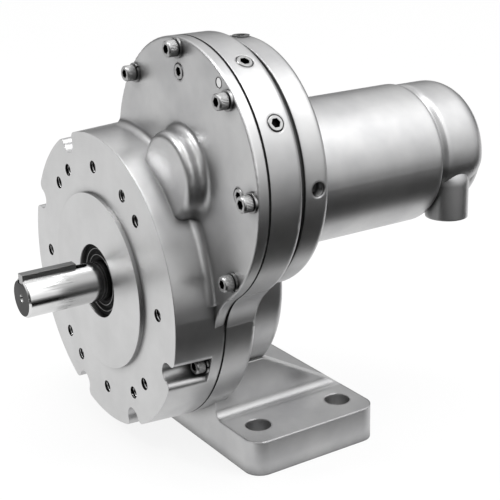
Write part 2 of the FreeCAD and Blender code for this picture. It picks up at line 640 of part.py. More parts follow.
def make_gear_housing():
    body = new_body("gear_housing")
    bar(body, "band_lobe", "lobe_radius", "housing_front", "band_rear")
    bar(body, "band_disc", "disc_radius", "housing_front", "band_rear", "drive_x", "drive_z")
    round_edges(body, "band_waist", "waist_fillet", at_waist)
    band, rear, tail = value("band_rear"), value("ring_rear"), value("column_rear")
    x, z = value("drive_x"), value("drive_z")
    round_edges(body, "band_edge", "band_round", lambda edge: lies_at(edge, band))
    bar(body, "ring_groove", "groove_radius", "band_rear - band_round", "ring_front", "drive_x", "drive_z")
    bar(body, "planet_ring", "planet_ring_radius", "ring_front", "ring_rear", "drive_x", "drive_z")
    round_edges(body, "planet_ring_edge", "ring_round",
                lambda edge: lies_at(edge, rear, value("planet_ring_radius"), x, z))
    bar(body, "column", "column_radius", "housing_front", "column_rear")
    round_edges(body, "column_edge", "column_round",
                lambda edge: lies_at(edge, tail, value("column_radius")))
    # Pedestal: upright front, and side ribs that slope from the column down to the foot's rear
    side = outline(body, "pedestal_side", "YZ_Plane", [
        ("foot_front", "foot_thickness / 2 - foot_bottom"),
        ("foot_front", "-rib_top"),
        ("column_rear - column_round", "-rib_top"),
        ("foot_front + foot_length", "foot_thickness - foot_bottom"),
        ("foot_front + foot_length", "foot_thickness / 2 - foot_bottom")])
    pedestal = body.newObject("PartDesign::Pad", "pedestal")
    pedestal.Profile = side
    pedestal.Midplane = True
    bind(pedestal, Length="2 * pedestal_half_width")
    solid(body, "foot_plate", "AdditiveBox", "-foot_half_width", "foot_front", "-foot_bottom", UPRIGHT,
          Length="2 * foot_half_width", Width="foot_length", Height="foot_thickness")
    doc.recompute()
    half, front = value("foot_half_width"), value("foot_front")
    back = front + value("foot_length")

    def foot_corner(edge):
        box = edge.BoundBox
        upright = near(box.XLength, 0) and near(box.YLength, 0) and box.ZLength > 1
        return upright and near(abs(box.XMin), half) and (near(box.YMin, front) or near(box.YMin, back))

    round_edges(body, "foot_corners", "foot_corner", foot_corner)
    top, wall = value("foot_thickness") - value("foot_bottom"), value("pedestal_half_width")

    def foot_joint(edge):
        box = edge.BoundBox
        level = near(box.ZMin, top) and near(box.ZMax, top)
        return level and near(abs(box.XMin), wall) and near(box.XLength, 0) and box.YLength > 1

    round_edges(body, "foot_fillets", "pedestal_fillet", foot_joint)
    # The pedestal is open at the back between its ribs, behind the column
    solid(body, "pedestal_recess", "SubtractiveBox", "pedestal_rib - pedestal_half_width", "column_rear",
          "foot_thickness - foot_bottom", UPRIGHT,
          Length="2 * (pedestal_half_width - pedestal_rib)", Width="foot_length", Height="foot_bottom")
    # Chambers and bearing seats, all reached from the front
    bar(body, "lobe_chamber", "lobe_chamber_radius", "housing_front - 1", "chamber_back", cut=True)
    bar(body, "disc_chamber", "disc_chamber_radius", "housing_front - 1", "plate_rear",
        "drive_x", "drive_z", cut=True)
    bar(body, "planet_chamber", "ring_gear_radius + thread_play", "plate_rear - 1", "planet_chamber_back",
        "drive_x", "drive_z", cut=True)
    bar(body, "plate_ring_groove", "disc_chamber_radius + snap_ring_height / 2",
        "chamber_back - snap_ring_thickness", "chamber_back", "drive_x", "drive_z", cut=True)
    bar(body, "motor_seal_seat", "motor_seal_radius", "plate_rear", "ring_rear + 1",
        "drive_x", "drive_z", cut=True)
    for number, (x, z) in enumerate(motor_screw_spots(), start=1):
        bar(body, f"motor_screw_hole_{number}", "screw_radius + screw_play", "planet_chamber_back - 1",
            "ring_rear + 1", x, z, cut=True)
        solid(body, f"motor_screw_seat_{number}", "SubtractiveCone", x, "planet_chamber_back", z, ALONG_Y,
              Radius1="motor_screw_head + screw_play", Radius2="screw_radius",
              Height="motor_screw_head + screw_play - screw_radius")
    bar(body, "rear_bearing_seat", "rear_bearing_radius", "chamber_back - 1", "rear_bearing_rear", cut=True)
    # The column makes room for the barrel beside it
    bar(body, "barrel_clearance", "barrel_radius + casting_gap", "ring_rear", "column_rear + 1",
        "drive_x", "barrel_z", cut=True)
    for number, (side, back) in enumerate(((1, 0), (1, 1), (-1, 0), (-1, 1)), start=1):
        solid(body, f"foot_hole_{number}", "SubtractiveCylinder", f"{side} * foot_hole_spread",
              f"foot_front + foot_hole_front + {back} * foot_hole_pitch", "-foot_bottom - 1", UPRIGHT,
              Radius="foot_hole_radius", Height="foot_thickness + 2")
    for number, (x, z) in enumerate(cover_screw_spots(), start=1):
        bar(body, f"screw_thread_{number}", "screw_radius + thread_play", "housing_front - 1",
            "screw_seat + screw_length + 2", x, z, cut=True)
    x, z = on_circle("dowel_circle", "dowel_angle", "drive_x", "drive_z")
    bar(body, "dowel_seat", "dowel_radius + thread_play", "housing_front - 1",
        "plate_front + dowel_length", x, z, cut=True)
    for number, angle in enumerate(BAND_PLUG_ANGLES, start=1):
        radial_hole(body, f"band_plug_hole_{number}", "plug_radius + thread_play",
                    "disc_chamber_radius - 2", angle, "(housing_front + band_rear) / 2")
    radial_hole(body, "lock_screw_hole", "plug_radius + thread_play", "planet_ring_radius - plug_length",
                90, "(ring_front + ring_rear) / 2")
    radial_hole(body, "lock_point_hole", "lock_point_radius + thread_play", "ring_gear_radius - 1",
                90, "(ring_front + ring_rear) / 2")
    radial_hole(body, "vent_hole", "vent_radius", "planet_ring_radius - plug_length - 2",
                0, "(ring_front + ring_rear) / 2")
    return body


def radial_turn(angle):
    """Turns a cylinder's axis from +Z to a direction across the drive axis."""
    return FreeCAD.Rotation(FreeCAD.Vector(0, 1, 0), 90 - angle)


def radial_hole(body, label, radius, start, angle, y):
    """A hole across the drive axis, from a start radius outwards."""
    x, z = on_circle(start, angle, "drive_x", "drive_z")
    return solid(body, label, "SubtractiveCylinder", x, y, z, radial_turn(angle),
                 Radius=radius, Height="disc_radius")


def make_gasket():
    body = new_body("cover_gasket")
    bar(body, "gasket_lobe", "lobe_radius", "parting", "housing_front")
    bar(body, "gasket_disc", "disc_radius", "parting", "housing_front", "drive_x", "drive_z")
    round_edges(body, "gasket_waist", "waist_fillet", at_waist)
    bar(body, "gasket_lobe_opening", "lobe_chamber_radius", "parting - 1", "housing_front + 1", cut=True)
    bar(body, "gasket_disc_opening", "disc_chamber_radius", "parting - 1", "housing_front + 1",
        "drive_x", "drive_z", cut=True)
    for number, (x, z) in enumerate(cover_screw_spots(), start=1):
        bar(body, f"gasket_hole_{number}", "screw_radius + screw_play", "parting - 1", "housing_front + 1",
            x, z, cut=True)
    x, z = on_circle("dowel_circle", "dowel_angle", "drive_x", "drive_z")
    bar(body, "gasket_dowel_hole", "dowel_radius + thread_play", "parting - 1", "housing_front + 1",
        x, z, cut=True)


# Fasteners and plugs

def socket_screw(label, radius, length, head_radius, head_height, flats, depth):
    """A socket cap screw: the head's underside at the origin, the shank along +Y."""
    head = part_bar(label + "_head", head_radius, f"-({head_height})", "0")
    shank = part_bar(label + "_shank", radius, f"-({head_height}) / 2", length)
    socket = doc.addObject("Part::Prism", label + "_socket")
    socket.Polygon = 6
    bind(socket, Circumradius=f"({flats}) / sqrt(3)", Height=f"{depth} + 1")
    put(socket, "0", f"-({head_height}) - 1", "0", ALONG_Y)
    return part_cut(label + "_cut", part_fuse(label + "_blank", [head, shank]), socket)


def pipe_plug(label):
    """A socket pipe plug along +Y, with its socket at the origin."""
    blank = part_bar(label + "_blank", "plug_radius", "0", "plug_length")
    socket = doc.addObject("Part::Prism", label + "_socket")
    socket.Polygon = 6
    bind(socket, Circumradius="plug_flats / sqrt(3)", Height="plug_length / 2 + 1")
    put(socket, "0", "-1", "0", ALONG_Y)
    return part_cut(label + "_cut", blank, socket)


def split_washer(label):
    """A split lock washer with its front face at the origin."""
    blank = part_bar(label + "_blank", "washer_radius", "0", "washer_thickness")
    hole = part_bar(label + "_hole", "screw_radius + screw_play / 3", "-1", "washer_thickness + 1")
    split = doc.addObject("Part::Box", label + "_split")
    bind(split, Length="washer_radius", Width="washer_thickness + 2", Height="washer_gap")
    put(split, "0", "-1", "-washer_gap / 2")
    return part_cut(label + "_ring", part_cut(label + "_drilled", blank, hole), split)


def make_fasteners():
    screw = socket_screw("cover_screw", "screw_radius", "screw_length", "screw_head_radius",
                         "screw_head_height", "screw_socket_flats", "screw_socket_depth")
    copies("cover_screws", screw, [(x, "screw_seat", z, UPRIGHT) for x, z in cover_screw_spots()])
    washer = split_washer("washer")
    copies("lock_washers", washer, [
        (x, "screw_seat", z, FreeCAD.Rotation(FreeCAD.Vector(0, 1, 0), 50 + 67 * number))
        for number, (x, z) in enumerate(cover_screw_spots())])
    plug = pipe_plug("plug")
    spots = [on_circle("plug_circle", angle, "drive_x", "drive_z") for angle in COVER_PLUG_ANGLES]
    copies("cover_plugs", plug, [(x, "plate_front - plug_proud", z, UPRIGHT) for x, z in spots])
    spots = []
    for angle in BAND_PLUG_ANGLES:
        x, z = on_circle("disc_radius + plug_proud", angle, "drive_x", "drive_z")
        spots.append((x, "(housing_front + band_rear) / 2", z, radial_turn(angle).multiply(ALONG_Y)))
    copies("housing_plugs", plug, spots)
    # The lock screw's dog point keeps the ring gear from turning
    body = new_body("ring_lock_screw", "drive_x", "drive_z")
    solid(body, "lock_screw", "AdditiveCylinder", "0", "(ring_front + ring_rear) / 2",
          "planet_ring_radius + 2 * plug_proud - plug_length", UPRIGHT,
          Radius="plug_radius", Height="plug_length")
    solid(body, "lock_point", "AdditiveCylinder", "0", "(ring_front + ring_rear) / 2",
          "ring_gear_radius - lock_point_depth", UPRIGHT, Radius="lock_point_radius",
          Height="planet_ring_radius - plug_length - ring_gear_radius + lock_point_depth + 2")
    solid(body, "lock_socket", "SubtractivePrism", "0", "(ring_front + ring_rear) / 2",
          "planet_ring_radius - plug_length / 3", UPRIGHT,
          Polygon="6", Circumradius="plug_flats / sqrt(3)", Height="plug_length")
    body = new_body("locating_dowel")
    x, z = on_circle("dowel_circle", "dowel_angle", "drive_x", "drive_z")
    bar(body, "dowel", "dowel_radius", "plate_front + 0.1", "plate_front + dowel_length", x, z)


# Output shaft and what turns with it

def make_output():
    shaft = turned("output_shaft", [
        ("0", "-shaft_reach"),
        ("shaft_radius - shaft_chamfer", "-shaft_reach"),
        ("shaft_radius", "shaft_chamfer - shaft_reach"),
        ("shaft_radius", "front_bearing_front"),
        ("front_bearing_bore", "front_bearing_front"),
        ("front_bearing_bore", "front_bearing_rear"),
        ("front_bearing_bore + 3", "front_bearing_rear"),
        ("front_bearing_bore + 3", "front_bearing_rear + 3"),
        ("front_bearing_bore + 1", "front_bearing_rear + 3"),
        ("front_bearing_bore + 1", "rear_bearing_front"),
        ("rear_bearing_bore", "rear_bearing_front"),
        ("rear_bearing_bore", "rear_bearing_rear - 0.5"),
        ("0", "rear_bearing_rear - 0.5")])
    solid(shaft, "keyway", "SubtractiveBox", "-key_width / 2", "-shaft_reach - 1",
          "shaft_radius - keyway_depth", UPRIGHT,
          Length="key_width", Width="keyway_length - key_width / 2 + 1", Height="shaft_radius")
    solid(shaft, "keyway_end", "SubtractiveCylinder", "0", "keyway_length - key_width / 2 - shaft_reach",
          "shaft_radius - keyway_depth", UPRIGHT, Radius="key_width / 2", Height="shaft_radius")
    solid(shaft, "centre_hole", "SubtractiveCone", "0", "-shaft_reach", "0", ALONG_Y,
          Radius1="centre_hole_radius", Radius2="0.2", Height="1.7 * centre_hole_radius")
    gear_key = ("-gear_key_width / 2", "gear_front", "front_bearing_bore + 1 - gear_key_width / 2", UPRIGHT)
    gear_key_size = {"Length": "gear_key_width", "Width": "gear_key_length", "Height": "gear_key_width"}
    solid(shaft, "gear_keyway", "SubtractiveBox", *gear_key, **gear_key_size)
    body = new_body("gear_key")
    solid(body, "gear_key_bar", "AdditiveBox", *gear_key, **gear_key_size)
    key = new_body("shaft_key")
    solid(key, "key_bar", "AdditiveBox", "-key_width / 2", "0.4 - shaft_reach", "shaft_radius - keyway_depth",
          UPRIGHT, Length="key_width", Width="key_length", Height="key_width")
    # The gear is one toothed blank, thinned to a web with round holes
    blank = toothed_blank("output_gear", external_corners(gear_teeth, value("gear_module"), gear_phase),
                          "gear_width", "0", "gear_back", "0")
    hub = part_bar("gear_hub", "gear_hub_radius", "front_bearing_rear + 3", "rear_bearing_front")
    tools = [part_bar("gear_bore", "front_bearing_bore + 1", "0", "column_rear")]
    keyway = doc.addObject("Part::Box", "gear_keyway_in_hub")
    bind(keyway, Length="gear_key_width", Width="column_rear", Height="gear_key_width")
    tools.append(put(keyway, "-gear_key_width / 2", "0", "front_bearing_bore + 1 - gear_key_width / 2"))
    rim = "gear_module * gear_teeth / 2 - 1.25 * gear_module - gear_rim"
    for label, front, rear in (("front", "gear_front - 1", "gear_front + (gear_width - gear_web) / 2"),
                               ("rear", "gear_back - (gear_width - gear_web) / 2", "gear_back + 1")):
        disc = part_bar(f"gear_{label}_disc", rim, front, rear)
        core = part_bar(f"gear_{label}_core", "gear_hub_radius", front, rear)
        tools.append(part_cut(f"gear_{label}_groove", disc, core))
    for number in range(6):
        x, z = on_circle(f"(gear_hub_radius + {rim}) / 2", 60 * number)
        tools.append(part_bar(f"gear_hole_{number}", "gear_hole_radius", "gear_front", "gear_back", x, z))
    node(part_cut("gear_cut", part_fuse("gear_blank_and_hub", [blank, hub]), part_fuse("gear_tools", tools)),
         "output_gear")


# Pinion shaft, planet carrier and planets

def make_carrier():
    blank = toothed_blank("pinion", external_corners(pinion_teeth, value("gear_module"), pinion_phase),
                          "pinion_width", "drive_x", "pinion_back", "drive_z")
    bore = part_bar("pinion_bore", "carrier_bearing_bore", "0", "column_rear", "drive_x", "drive_z")
    node(part_cut("pinion_cut", blank, bore), "drive_pinion")
    carrier = turned("planet_carrier", [
        ("0", "pinion_bearing_front + 0.5"),
        ("pinion_bearing_bore", "pinion_bearing_front + 0.5"),
        ("pinion_bearing_bore", "pinion_bearing_rear"),
        ("pinion_bearing_bore + 2.5", "pinion_bearing_rear"),
        ("pinion_bearing_bore + 2.5", "pinion_front"),
        ("carrier_bearing_bore", "pinion_front"),
        ("carrier_bearing_bore", "plate_rear"),
        ("carrier_bearing_bore + 3", "plate_rear"),
        ("carrier_bearing_bore + 3", "carrier_front"),
        ("carrier_radius", "carrier_front"),
        ("carrier_radius", "carrier_back"),
        ("0", "carrier_back")], "drive_x", "drive_z")
    for number, angle in enumerate(PLANET_ANGLES, start=1):
        x, z = on_circle("planet_circle", angle)
        bar(carrier, f"pin_hole_{number}", "planet_pin_radius", "carrier_front - 1", "carrier_back + 1",
            x, z, cut=True)
    pins = []
    for number, angle in enumerate(PLANET_ANGLES, start=1):
        x, z = on_circle("planet_circle", angle, "drive_x", "drive_z")
        pins.append(part_bar(f"planet_pin_{number}", "planet_pin_radius", "carrier_front",
                             "planet_back + side_play / 2", x, z))
    gathered("planet_pins", pins)
    for number, angle in enumerate(PLANET_ANGLES, start=1):
        x, z = on_circle("planet_circle", angle, "drive_x", "drive_z")
        phase = planet_phase(math.radians(angle))
        blank = toothed_blank(f"planet_{number}",
                              external_corners(planet_teeth, value("planet_module"), phase),
                              "planet_width", x, "planet_back", z)
        bore = part_bar(f"planet_bore_{number}", "planet_pin_radius + planet_bush_wall", "0", "column_rear", x, z)
        node(part_cut(f"planet_cut_{number}", blank, bore), f"planet_gear_{number}")
        ring(f"planet_bush_{number}", "planet_pin_radius + running_fit",
             "planet_pin_radius + planet_bush_wall", "planet_front", "planet_back", x, z)


def make_ring_gear():
    pitch = value("planet_module") * ring_teeth / 2
    corners = tooth_outline(ring_teeth, value("planet_module"), pitch + 1.25 * value("planet_module"),
                            pitch - value("planet_module"), -value("backlash") / 2,
                            ring_phase(math.radians(PLANET_ANGLES[0])))
    hollow = toothed_blank("ring_hollow", corners, "planet_width + 2", "drive_x", "planet_chamber_back + 1",
                           "drive_z")
    rim = part_bar("ring_blank", "ring_gear_radius", "planet_front", "planet_chamber_back",
                   "drive_x", "drive_z")
    dimple = doc.addObject("Part::Cylinder", "lock_dimple")
    bind(dimple, Radius="lock_point_radius + thread_play", Height="lock_point_depth + 2")
    put(dimple, "drive_x", "(ring_front + ring_rear) / 2", "drive_z + ring_gear_radius - lock_point_depth")
    node(part_cut("ring_cut", part_cut("ring_drilled", rim, dimple), hollow), "ring_gear")


def make_intermediate_plate():
    body = turned("intermediate_plate", [
        ("carrier_bearing_radius", "chamber_back"),
        ("disc_chamber_radius - thread_play", "chamber_back"),
        ("disc_chamber_radius - thread_play", "plate_rear"),
        ("carrier_bearing_radius", "plate_rear")], "drive_x", "drive_z")
    return body


# Bearings: an outer ring in its seat and an inner ring on its shaft

def make_bearing(label, kind, front, rear, x="0", z="0"):
    gap = f"({kind}_radius - {kind}_bore) * bearing_gap"
    middle = f"({kind}_radius + {kind}_bore) / 2"
    ring(f"{label}_outer_ring", f"{middle} + {gap} / 2", f"{kind}_radius", front, rear, x, z)
    ring(f"{label}_inner_ring", f"{kind}_bore", f"{middle} - {gap} / 2", front, rear, x, z)


def make_bearings():
    make_bearing("output_front_bearing", "front_bearing", "front_bearing_front", "front_bearing_rear")
    make_bearing("output_rear_bearing", "rear_bearing", "rear_bearing_front", "rear_bearing_rear")
    make_bearing("pinion_bearing", "pinion_bearing", "pinion_bearing_front", "pinion_bearing_rear",
                 "drive_x", "drive_z")
    make_bearing("carrier_bearing", "carrier_bearing", "chamber_back", "plate_rear", "drive_x", "drive_z")
    make_bearing("rotor_front_bearing", "rotor_bearing", "end_plate_front",
                 "end_plate_front + rotor_bearing_width", "drive_x", "drive_z")
    make_bearing("rotor_rear_bearing", "rotor_bearing", "end_plate_back - rotor_bearing_width",
                 "end_plate_back", "drive_x", "drive_z")
    # Oil seal: a case with its lip on the shaft
    turned("oil_seal", [
        ("shaft_radius + running_fit", "seal_front + 2.2"),
        ("shaft_radius + 1.4", "seal_front + 1.2"),
        ("seal_radius - 5.6", "seal_front + 1.2"),
        ("seal_radius - 4.4", "seal_front"),
        ("seal_radius", "seal_front"),
        ("seal_radius", "seal_rear"),
        ("seal_radius - 3", "seal_rear"),
        ("seal_radius - 3", "seal_front + 3.4"),
        ("shaft_radius + 1.6", "seal_front + 3.4")])
    # Rotor shaft seal
    turned("motor_seal", [
        ("rotor_bearing_bore + running_fit", "end_plate_front - motor_seal_width + 3"),
        ("rotor_bearing_bore + 1.2", "end_plate_front - motor_seal_width"),
        ("motor_seal_radius", "end_plate_front - motor_seal_width"),
        ("motor_seal_radius", "end_plate_front"),
        ("motor_seal_radius - 1.5", "end_plate_front"),
        ("motor_seal_radius - 1.5", "end_plate_front - motor_seal_width + 2.4"),
        ("rotor_bearing_bore + 1.6", "end_plate_front - motor_seal_width + 4")], "drive_x", "drive_z")
    make_snap_ring("bearing_snap_ring", "front_bearing_radius", "front_bearing_rear", "0", "0")
    make_snap_ring("plate_snap_ring", "disc_chamber_radius", "chamber_back - snap_ring_thickness",
                   "drive_x", "drive_z")


def make_snap_ring(label, seat, front, x, z):
    """A retaining ring in a groove of a seat, open at the bottom."""
    body = ring(label, f"{seat} - snap_ring_height / 2", f"{seat} + snap_ring_height / 2 - screw_play",
                front, f"{front} + snap_ring_thickness", x, z)
    solid(body, label + "_gap", "SubtractiveBox", "-snap_ring_opening / 2", "0", "-column_radius", UPRIGHT,
          Length="snap_ring_opening", Width="column_rear", Height="column_radius")


# Vane motor

def make_barrel():
    body = new_body("motor_barrel")
    bar(body, "barrel", "barrel_radius", "ring_rear", "barrel_rear", "drive_x", "barrel_z")
    doc.recompute()
    rear = value("barrel_rear")
    round_edges(body, "barrel_edge", "barrel_round", lambda edge: lies_at(edge, rear))
    bar(body, "liner_seat", "liner_radius", "end_plate_front", "barrel_rear + 1", "drive_x", "liner_z",
        cut=True)
    bar(body, "barrel_seal_seat", "motor_seal_radius", "ring_rear - 1", "end_plate_front + 1",
        "drive_x", "drive_z", cut=True)
    for number, (x, z) in enumerate(motor_screw_spots(), start=1):
        bar(body, f"motor_screw_thread_{number}", "screw_radius + thread_play", "ring_rear - 1",
            "planet_chamber_back + motor_screw_length + 1", x, z, cut=True)
    for side in (1, -1):
        bar(body, "air_passage", "passage_radius", "liner_front + 10", "barrel_rear + 1",
            f"drive_x + {side} * passage_spread", "barrel_z - passage_drop", cut=True)
    for number, (x, z) in enumerate(cap_screw_spots(), start=1):
        bar(body, f"cap_screw_thread_{number}", "screw_radius + thread_play", "barrel_rear - 16",
            "barrel_rear + 1", x, z, cut=True)


def motor_screw_spots():
    """Expressions for the axes of the screws that hold the barrel on the housing."""
    return [on_circle("motor_screw_circle", angle, "drive_x", "barrel_z") for angle in MOTOR_SCREW_ANGLES]


def cap_screw_spots():
    """Expressions for the axes of the cap screws."""
    return [on_circle("cap_screw_circle", angle, "drive_x", "barrel_z") for angle in CAP_SCREW_ANGLES]


def make_cylinder():
    ring("cylinder_liner", "liner_radius - liner_wall", "liner_radius - thread_play", "liner_front",
         "liner_rear", "drive_x", "liner_z")
    for label, front, rear, seat_front, seat_rear in (
            ("front_end_plate", "end_plate_front", "liner_front", "end_plate_front - 1",
             "end_plate_front + rotor_bearing_width"),
            ("rear_end_plate", "liner_rear", "end_plate_back", "end_plate_back - rotor_bearing_width",
             "end_plate_back + 1")):
        body = new_body(label)
        bar(body, label + "_disc", "liner_radius - thread_play", front, rear, "drive_x", "liner_z")
        bar(body, label + "_seat", "rotor_bearing_radius", seat_front, seat_rear, "drive_x", "drive_z",
            cut=True)
        bar(body, label + "_hole", "rotor_core_radius + 1.5", "ring_rear", "barrel_rear", "drive_x", "drive_z",
            cut=True)


def make_rotor():
    body = new_body("rotor", "drive_x", "drive_z")
    bar(body, "rotor_drum", "rotor_radius", "liner_front + end_gap", "liner_rear - end_gap")
    bar(body, "rotor_bore", "rotor_core_radius", "ring_rear", "barrel_rear", cut=True)
    slot = solid(body, "vane_slot", "SubtractiveBox", "-vane_thickness / 2 - vane_play", "ring_rear",
                 "rotor_radius - vane_height - vane_play", UPRIGHT, Length="vane_thickness + 2 * vane_play",
                 Width="barrel_rear", Height="rotor_radius")
    pattern = body.newObject("PartDesign::PolarPattern", "vane_slots")
    pattern.Originals = [slot]
    pattern.Axis = (origin_item(body, "Y_Axis"), [""])
    pattern.Angle = 360
    bind(pattern, Occurrences="vane_count")
    body.Tip = pattern
    blades = []
    for number in range(int(value("vane_count"))):
        angle = f"360 * {number} / vane_count"
        blade = doc.addObject("Part::Box", f"vane_{number + 1}")
        bind(blade, Length="vane_thickness", Width="liner_rear - liner_front - 2 * end_gap",
             Height="vane_height")
        x, z = on_circle("rotor_radius - vane_height", f"90 - {angle}", "drive_x", "drive_z")
        put(blade, f"{x} - vane_thickness / 2 * cos({angle})", "liner_front + end_gap",
            f"{z} + vane_thickness / 2 * sin({angle})",
            FreeCAD.Rotation(FreeCAD.Vector(0, 1, 0), 360 * number / value("vane_count")))
        blades.append(blade)
    gathered("vanes", blades)
    turned("rotor_shaft", [
        ("0", "planet_front"),
        ("rotor_bearing_bore", "planet_front"),
        ("rotor_bearing_bore", "end_plate_back - 0.5"),
        ("0", "end_plate_back - 0.5")], "drive_x", "drive_z")
    blank = toothed_blank("sun", external_corners(sun_teeth, value("planet_module"), sun_phase),
                          "planet_width", "drive_x", "planet_back", "drive_z")
    bore = part_bar("sun_bore", "rotor_bearing_bore", "0", "column_rear", "drive_x", "drive_z")
    node(part_cut("sun_cut", blank, bore), "sun_gear")


# Rear cap with the air ports

def make_rear_cap():
    body = new_body("rear_cap")
    bar(body, "cap", "cap_radius", "cap_front", "cap_rear", "drive_x", "barrel_z")
    doc.recompute()
    rear = value("cap_rear")
    round_edges(body, "cap_edge", "cap_round", lambda edge: lies_at(edge, rear))
    for side in (1, -1):
        solid(body, "port_boss", "AdditiveCylinder", f"drive_x + {side} * port_spread", "port_y",
              "barrel_z - port_bottom", UPRIGHT, Radius="port_boss_radius", Height="port_bottom - port_shoulder")
        solid(body, "port_dome", "AdditiveSphere", f"drive_x + {side} * port_spread", "port_y",
              "barrel_z - port_shoulder", UPRIGHT, Radius="port_boss_radius")
    doc.recompute()
    mouths = value("barrel_z") - value("port_bottom")
    rear = value("barrel_rear") + value("port_back") + value("port_boss_radius") + 1

    def port_joint(edge):
        box = edge.BoundBox
        seam = near(box.XLength, 0) and near(box.YLength, 0)
        level = near(box.ZMin, mouths) and near(box.ZMax, mouths)
        inside = box.YMax < rear and box.YMin > value("cap_front") + 0.1
        return inside and not seam and not level and not near(box.ZLength, 0, 0.3)

    round_edges(body, "port_blend", "port_fillet", port_joint)
    for side in (1, -1):
        x = f"drive_x + {side} * port_spread"
        solid(body, "port", "SubtractiveCylinder", x, "port_y", "barrel_z - port_bottom - 1", UPRIGHT,
              Radius="port_radius", Height="port_depth + 1")
        solid(body, "port_duct", "SubtractiveCylinder", x, "port_y", "barrel_z - port_bottom", UPRIGHT,
              Radius="passage_radius", Height="port_bottom - passage_drop + passage_radius / 3")
        bar(body, "cap_passage", "passage_radius", "cap_front - 1", "port_y",
            f"drive_x + {side} * passage_spread", "barrel_z - passage_drop", cut=True)
    bar(body, "cap_spigot", "liner_radius - 0.2", "end_plate_back", "cap_front + 1", "drive_x", "liner_z")
    bar(body, "cap_spigot_bore", "rotor_bearing_radius - 2", "end_plate_back - 1", "cap_front + 8",
        "drive_x", "drive_z", cut=True)
    for number, (x, z) in enumerate(cap_screw_spots(), start=1):
        bar(body, f"cap_screw_hole_{number}", "screw_radius + screw_play", "cap_front - 1", "cap_rear + 1",
            x, z, cut=True)
        bar(body, f"cap_screw_recess_{number}", "screw_head_radius + screw_play", "cap_front + cap_wall",
            "cap_rear + 1", x, z, cut=True)
    gasket = new_body("cap_gasket")
    bar(gasket, "cap_gasket_disc", "cap_radius", "barrel_rear", "cap_front", "drive_x", "barrel_z")
    bar(gasket, "cap_gasket_opening", "liner_radius", "barrel_rear - 1", "cap_front + 1", "drive_x", "liner_z",
        cut=True)
    for side in (1, -1):
        bar(gasket, "cap_gasket_passage", "passage_radius", "barrel_rear - 1", "cap_front + 1",
            f"drive_x + {side} * passage_spread", "barrel_z - passage_drop", cut=True)
    for number, (x, z) in enumerate(cap_screw_spots(), start=1):
        bar(gasket, f"cap_gasket_hole_{number}", "screw_radius + screw_play", "barrel_rear - 1",
            "cap_front + 1", x, z, cut=True)
    screw = socket_screw("cap_screw", "screw_radius", "cap_wall + gasket_thickness + 14", "screw_head_radius",
                         "screw_head_height", "screw_socket_flats", "screw_socket_depth")
    turn = FreeCAD.Rotation(FreeCAD.Vector(0, 0, 1), 180)
    copies("cap_screws", screw, [(x, "cap_front + cap_wall", z, turn) for x, z in cap_screw_spots()])


def make_motor_screws():
    """Countersunk screws from the planet chamber into the barrel."""
    shank = part_bar("motor_screw_shank", "screw_radius", "0", "motor_screw_length")
    head = doc.addObject("Part::Cone", "motor_screw_cone")
    bind(head, Radius1="motor_screw_head", Radius2="screw_radius", Height="motor_screw_head - screw_radius")
    put(head, "0", "0", "0", ALONG_Y)
    socket = doc.addObject("Part::Prism", "motor_screw_socket")
    socket.Polygon = 6
    bind(socket, Circumradius="screw_socket_flats / sqrt(3)", Height="screw_socket_depth")
    put(socket, "0", "-1", "0", ALONG_Y)
    screw = part_cut("motor_screw", part_fuse("motor_screw_blank", [shank, head]), socket)
    copies("motor_screws", screw, [(x, "planet_chamber_back", z, UPRIGHT) for x, z in motor_screw_spots()])


cover = make_front_cover()
finish_front_cover(cover)
make_gear_housing()
make_gasket()
make_fasteners()
make_output()
make_carrier()
make_ring_gear()
make_intermediate_plate()
make_bearings()
make_barrel()
make_cylinder()
make_rotor()
make_rear_cap()
make_motor_screws()

doc.recompute()
for item in doc.Objects:
    if "Invalid" in item.State or "Error" in item.State:
        raise RuntimeError(f"{item.Name} ({item.Label}) failed: {item.State}")
for item in nodes:
    if item.Shape.isNull() or not item.Shape.isValid():
        raise RuntimeError(f"{item.Label}: shape is not valid")

os.makedirs("parts", exist_ok=True)
for item in nodes:
    item.Shape.exportStep(os.path.join("parts", item.Label + ".step"))
print(len(nodes), "sub-parts written")
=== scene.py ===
import json
import math
import bmesh
import bpy
from mathutils import Matrix, Vector


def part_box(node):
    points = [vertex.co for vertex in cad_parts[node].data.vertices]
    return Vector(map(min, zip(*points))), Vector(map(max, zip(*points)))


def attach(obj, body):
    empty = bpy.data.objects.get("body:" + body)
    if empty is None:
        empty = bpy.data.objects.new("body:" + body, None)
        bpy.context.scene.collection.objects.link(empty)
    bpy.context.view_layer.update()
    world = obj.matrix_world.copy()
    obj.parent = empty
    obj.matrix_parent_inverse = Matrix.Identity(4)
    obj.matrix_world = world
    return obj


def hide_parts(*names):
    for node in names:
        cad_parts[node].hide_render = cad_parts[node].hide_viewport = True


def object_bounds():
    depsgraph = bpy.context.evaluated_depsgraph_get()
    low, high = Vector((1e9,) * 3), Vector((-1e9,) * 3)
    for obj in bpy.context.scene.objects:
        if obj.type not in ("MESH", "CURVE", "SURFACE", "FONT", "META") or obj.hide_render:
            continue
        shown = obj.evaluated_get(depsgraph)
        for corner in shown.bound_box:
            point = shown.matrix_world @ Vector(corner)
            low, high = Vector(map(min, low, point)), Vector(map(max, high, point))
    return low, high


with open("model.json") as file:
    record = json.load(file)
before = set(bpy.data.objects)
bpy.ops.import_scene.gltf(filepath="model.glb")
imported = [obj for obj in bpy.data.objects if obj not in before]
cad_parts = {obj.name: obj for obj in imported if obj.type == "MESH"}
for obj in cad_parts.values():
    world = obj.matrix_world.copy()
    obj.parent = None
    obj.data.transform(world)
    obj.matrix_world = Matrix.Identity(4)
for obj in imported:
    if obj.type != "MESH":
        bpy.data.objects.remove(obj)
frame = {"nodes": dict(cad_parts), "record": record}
CAD_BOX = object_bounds()

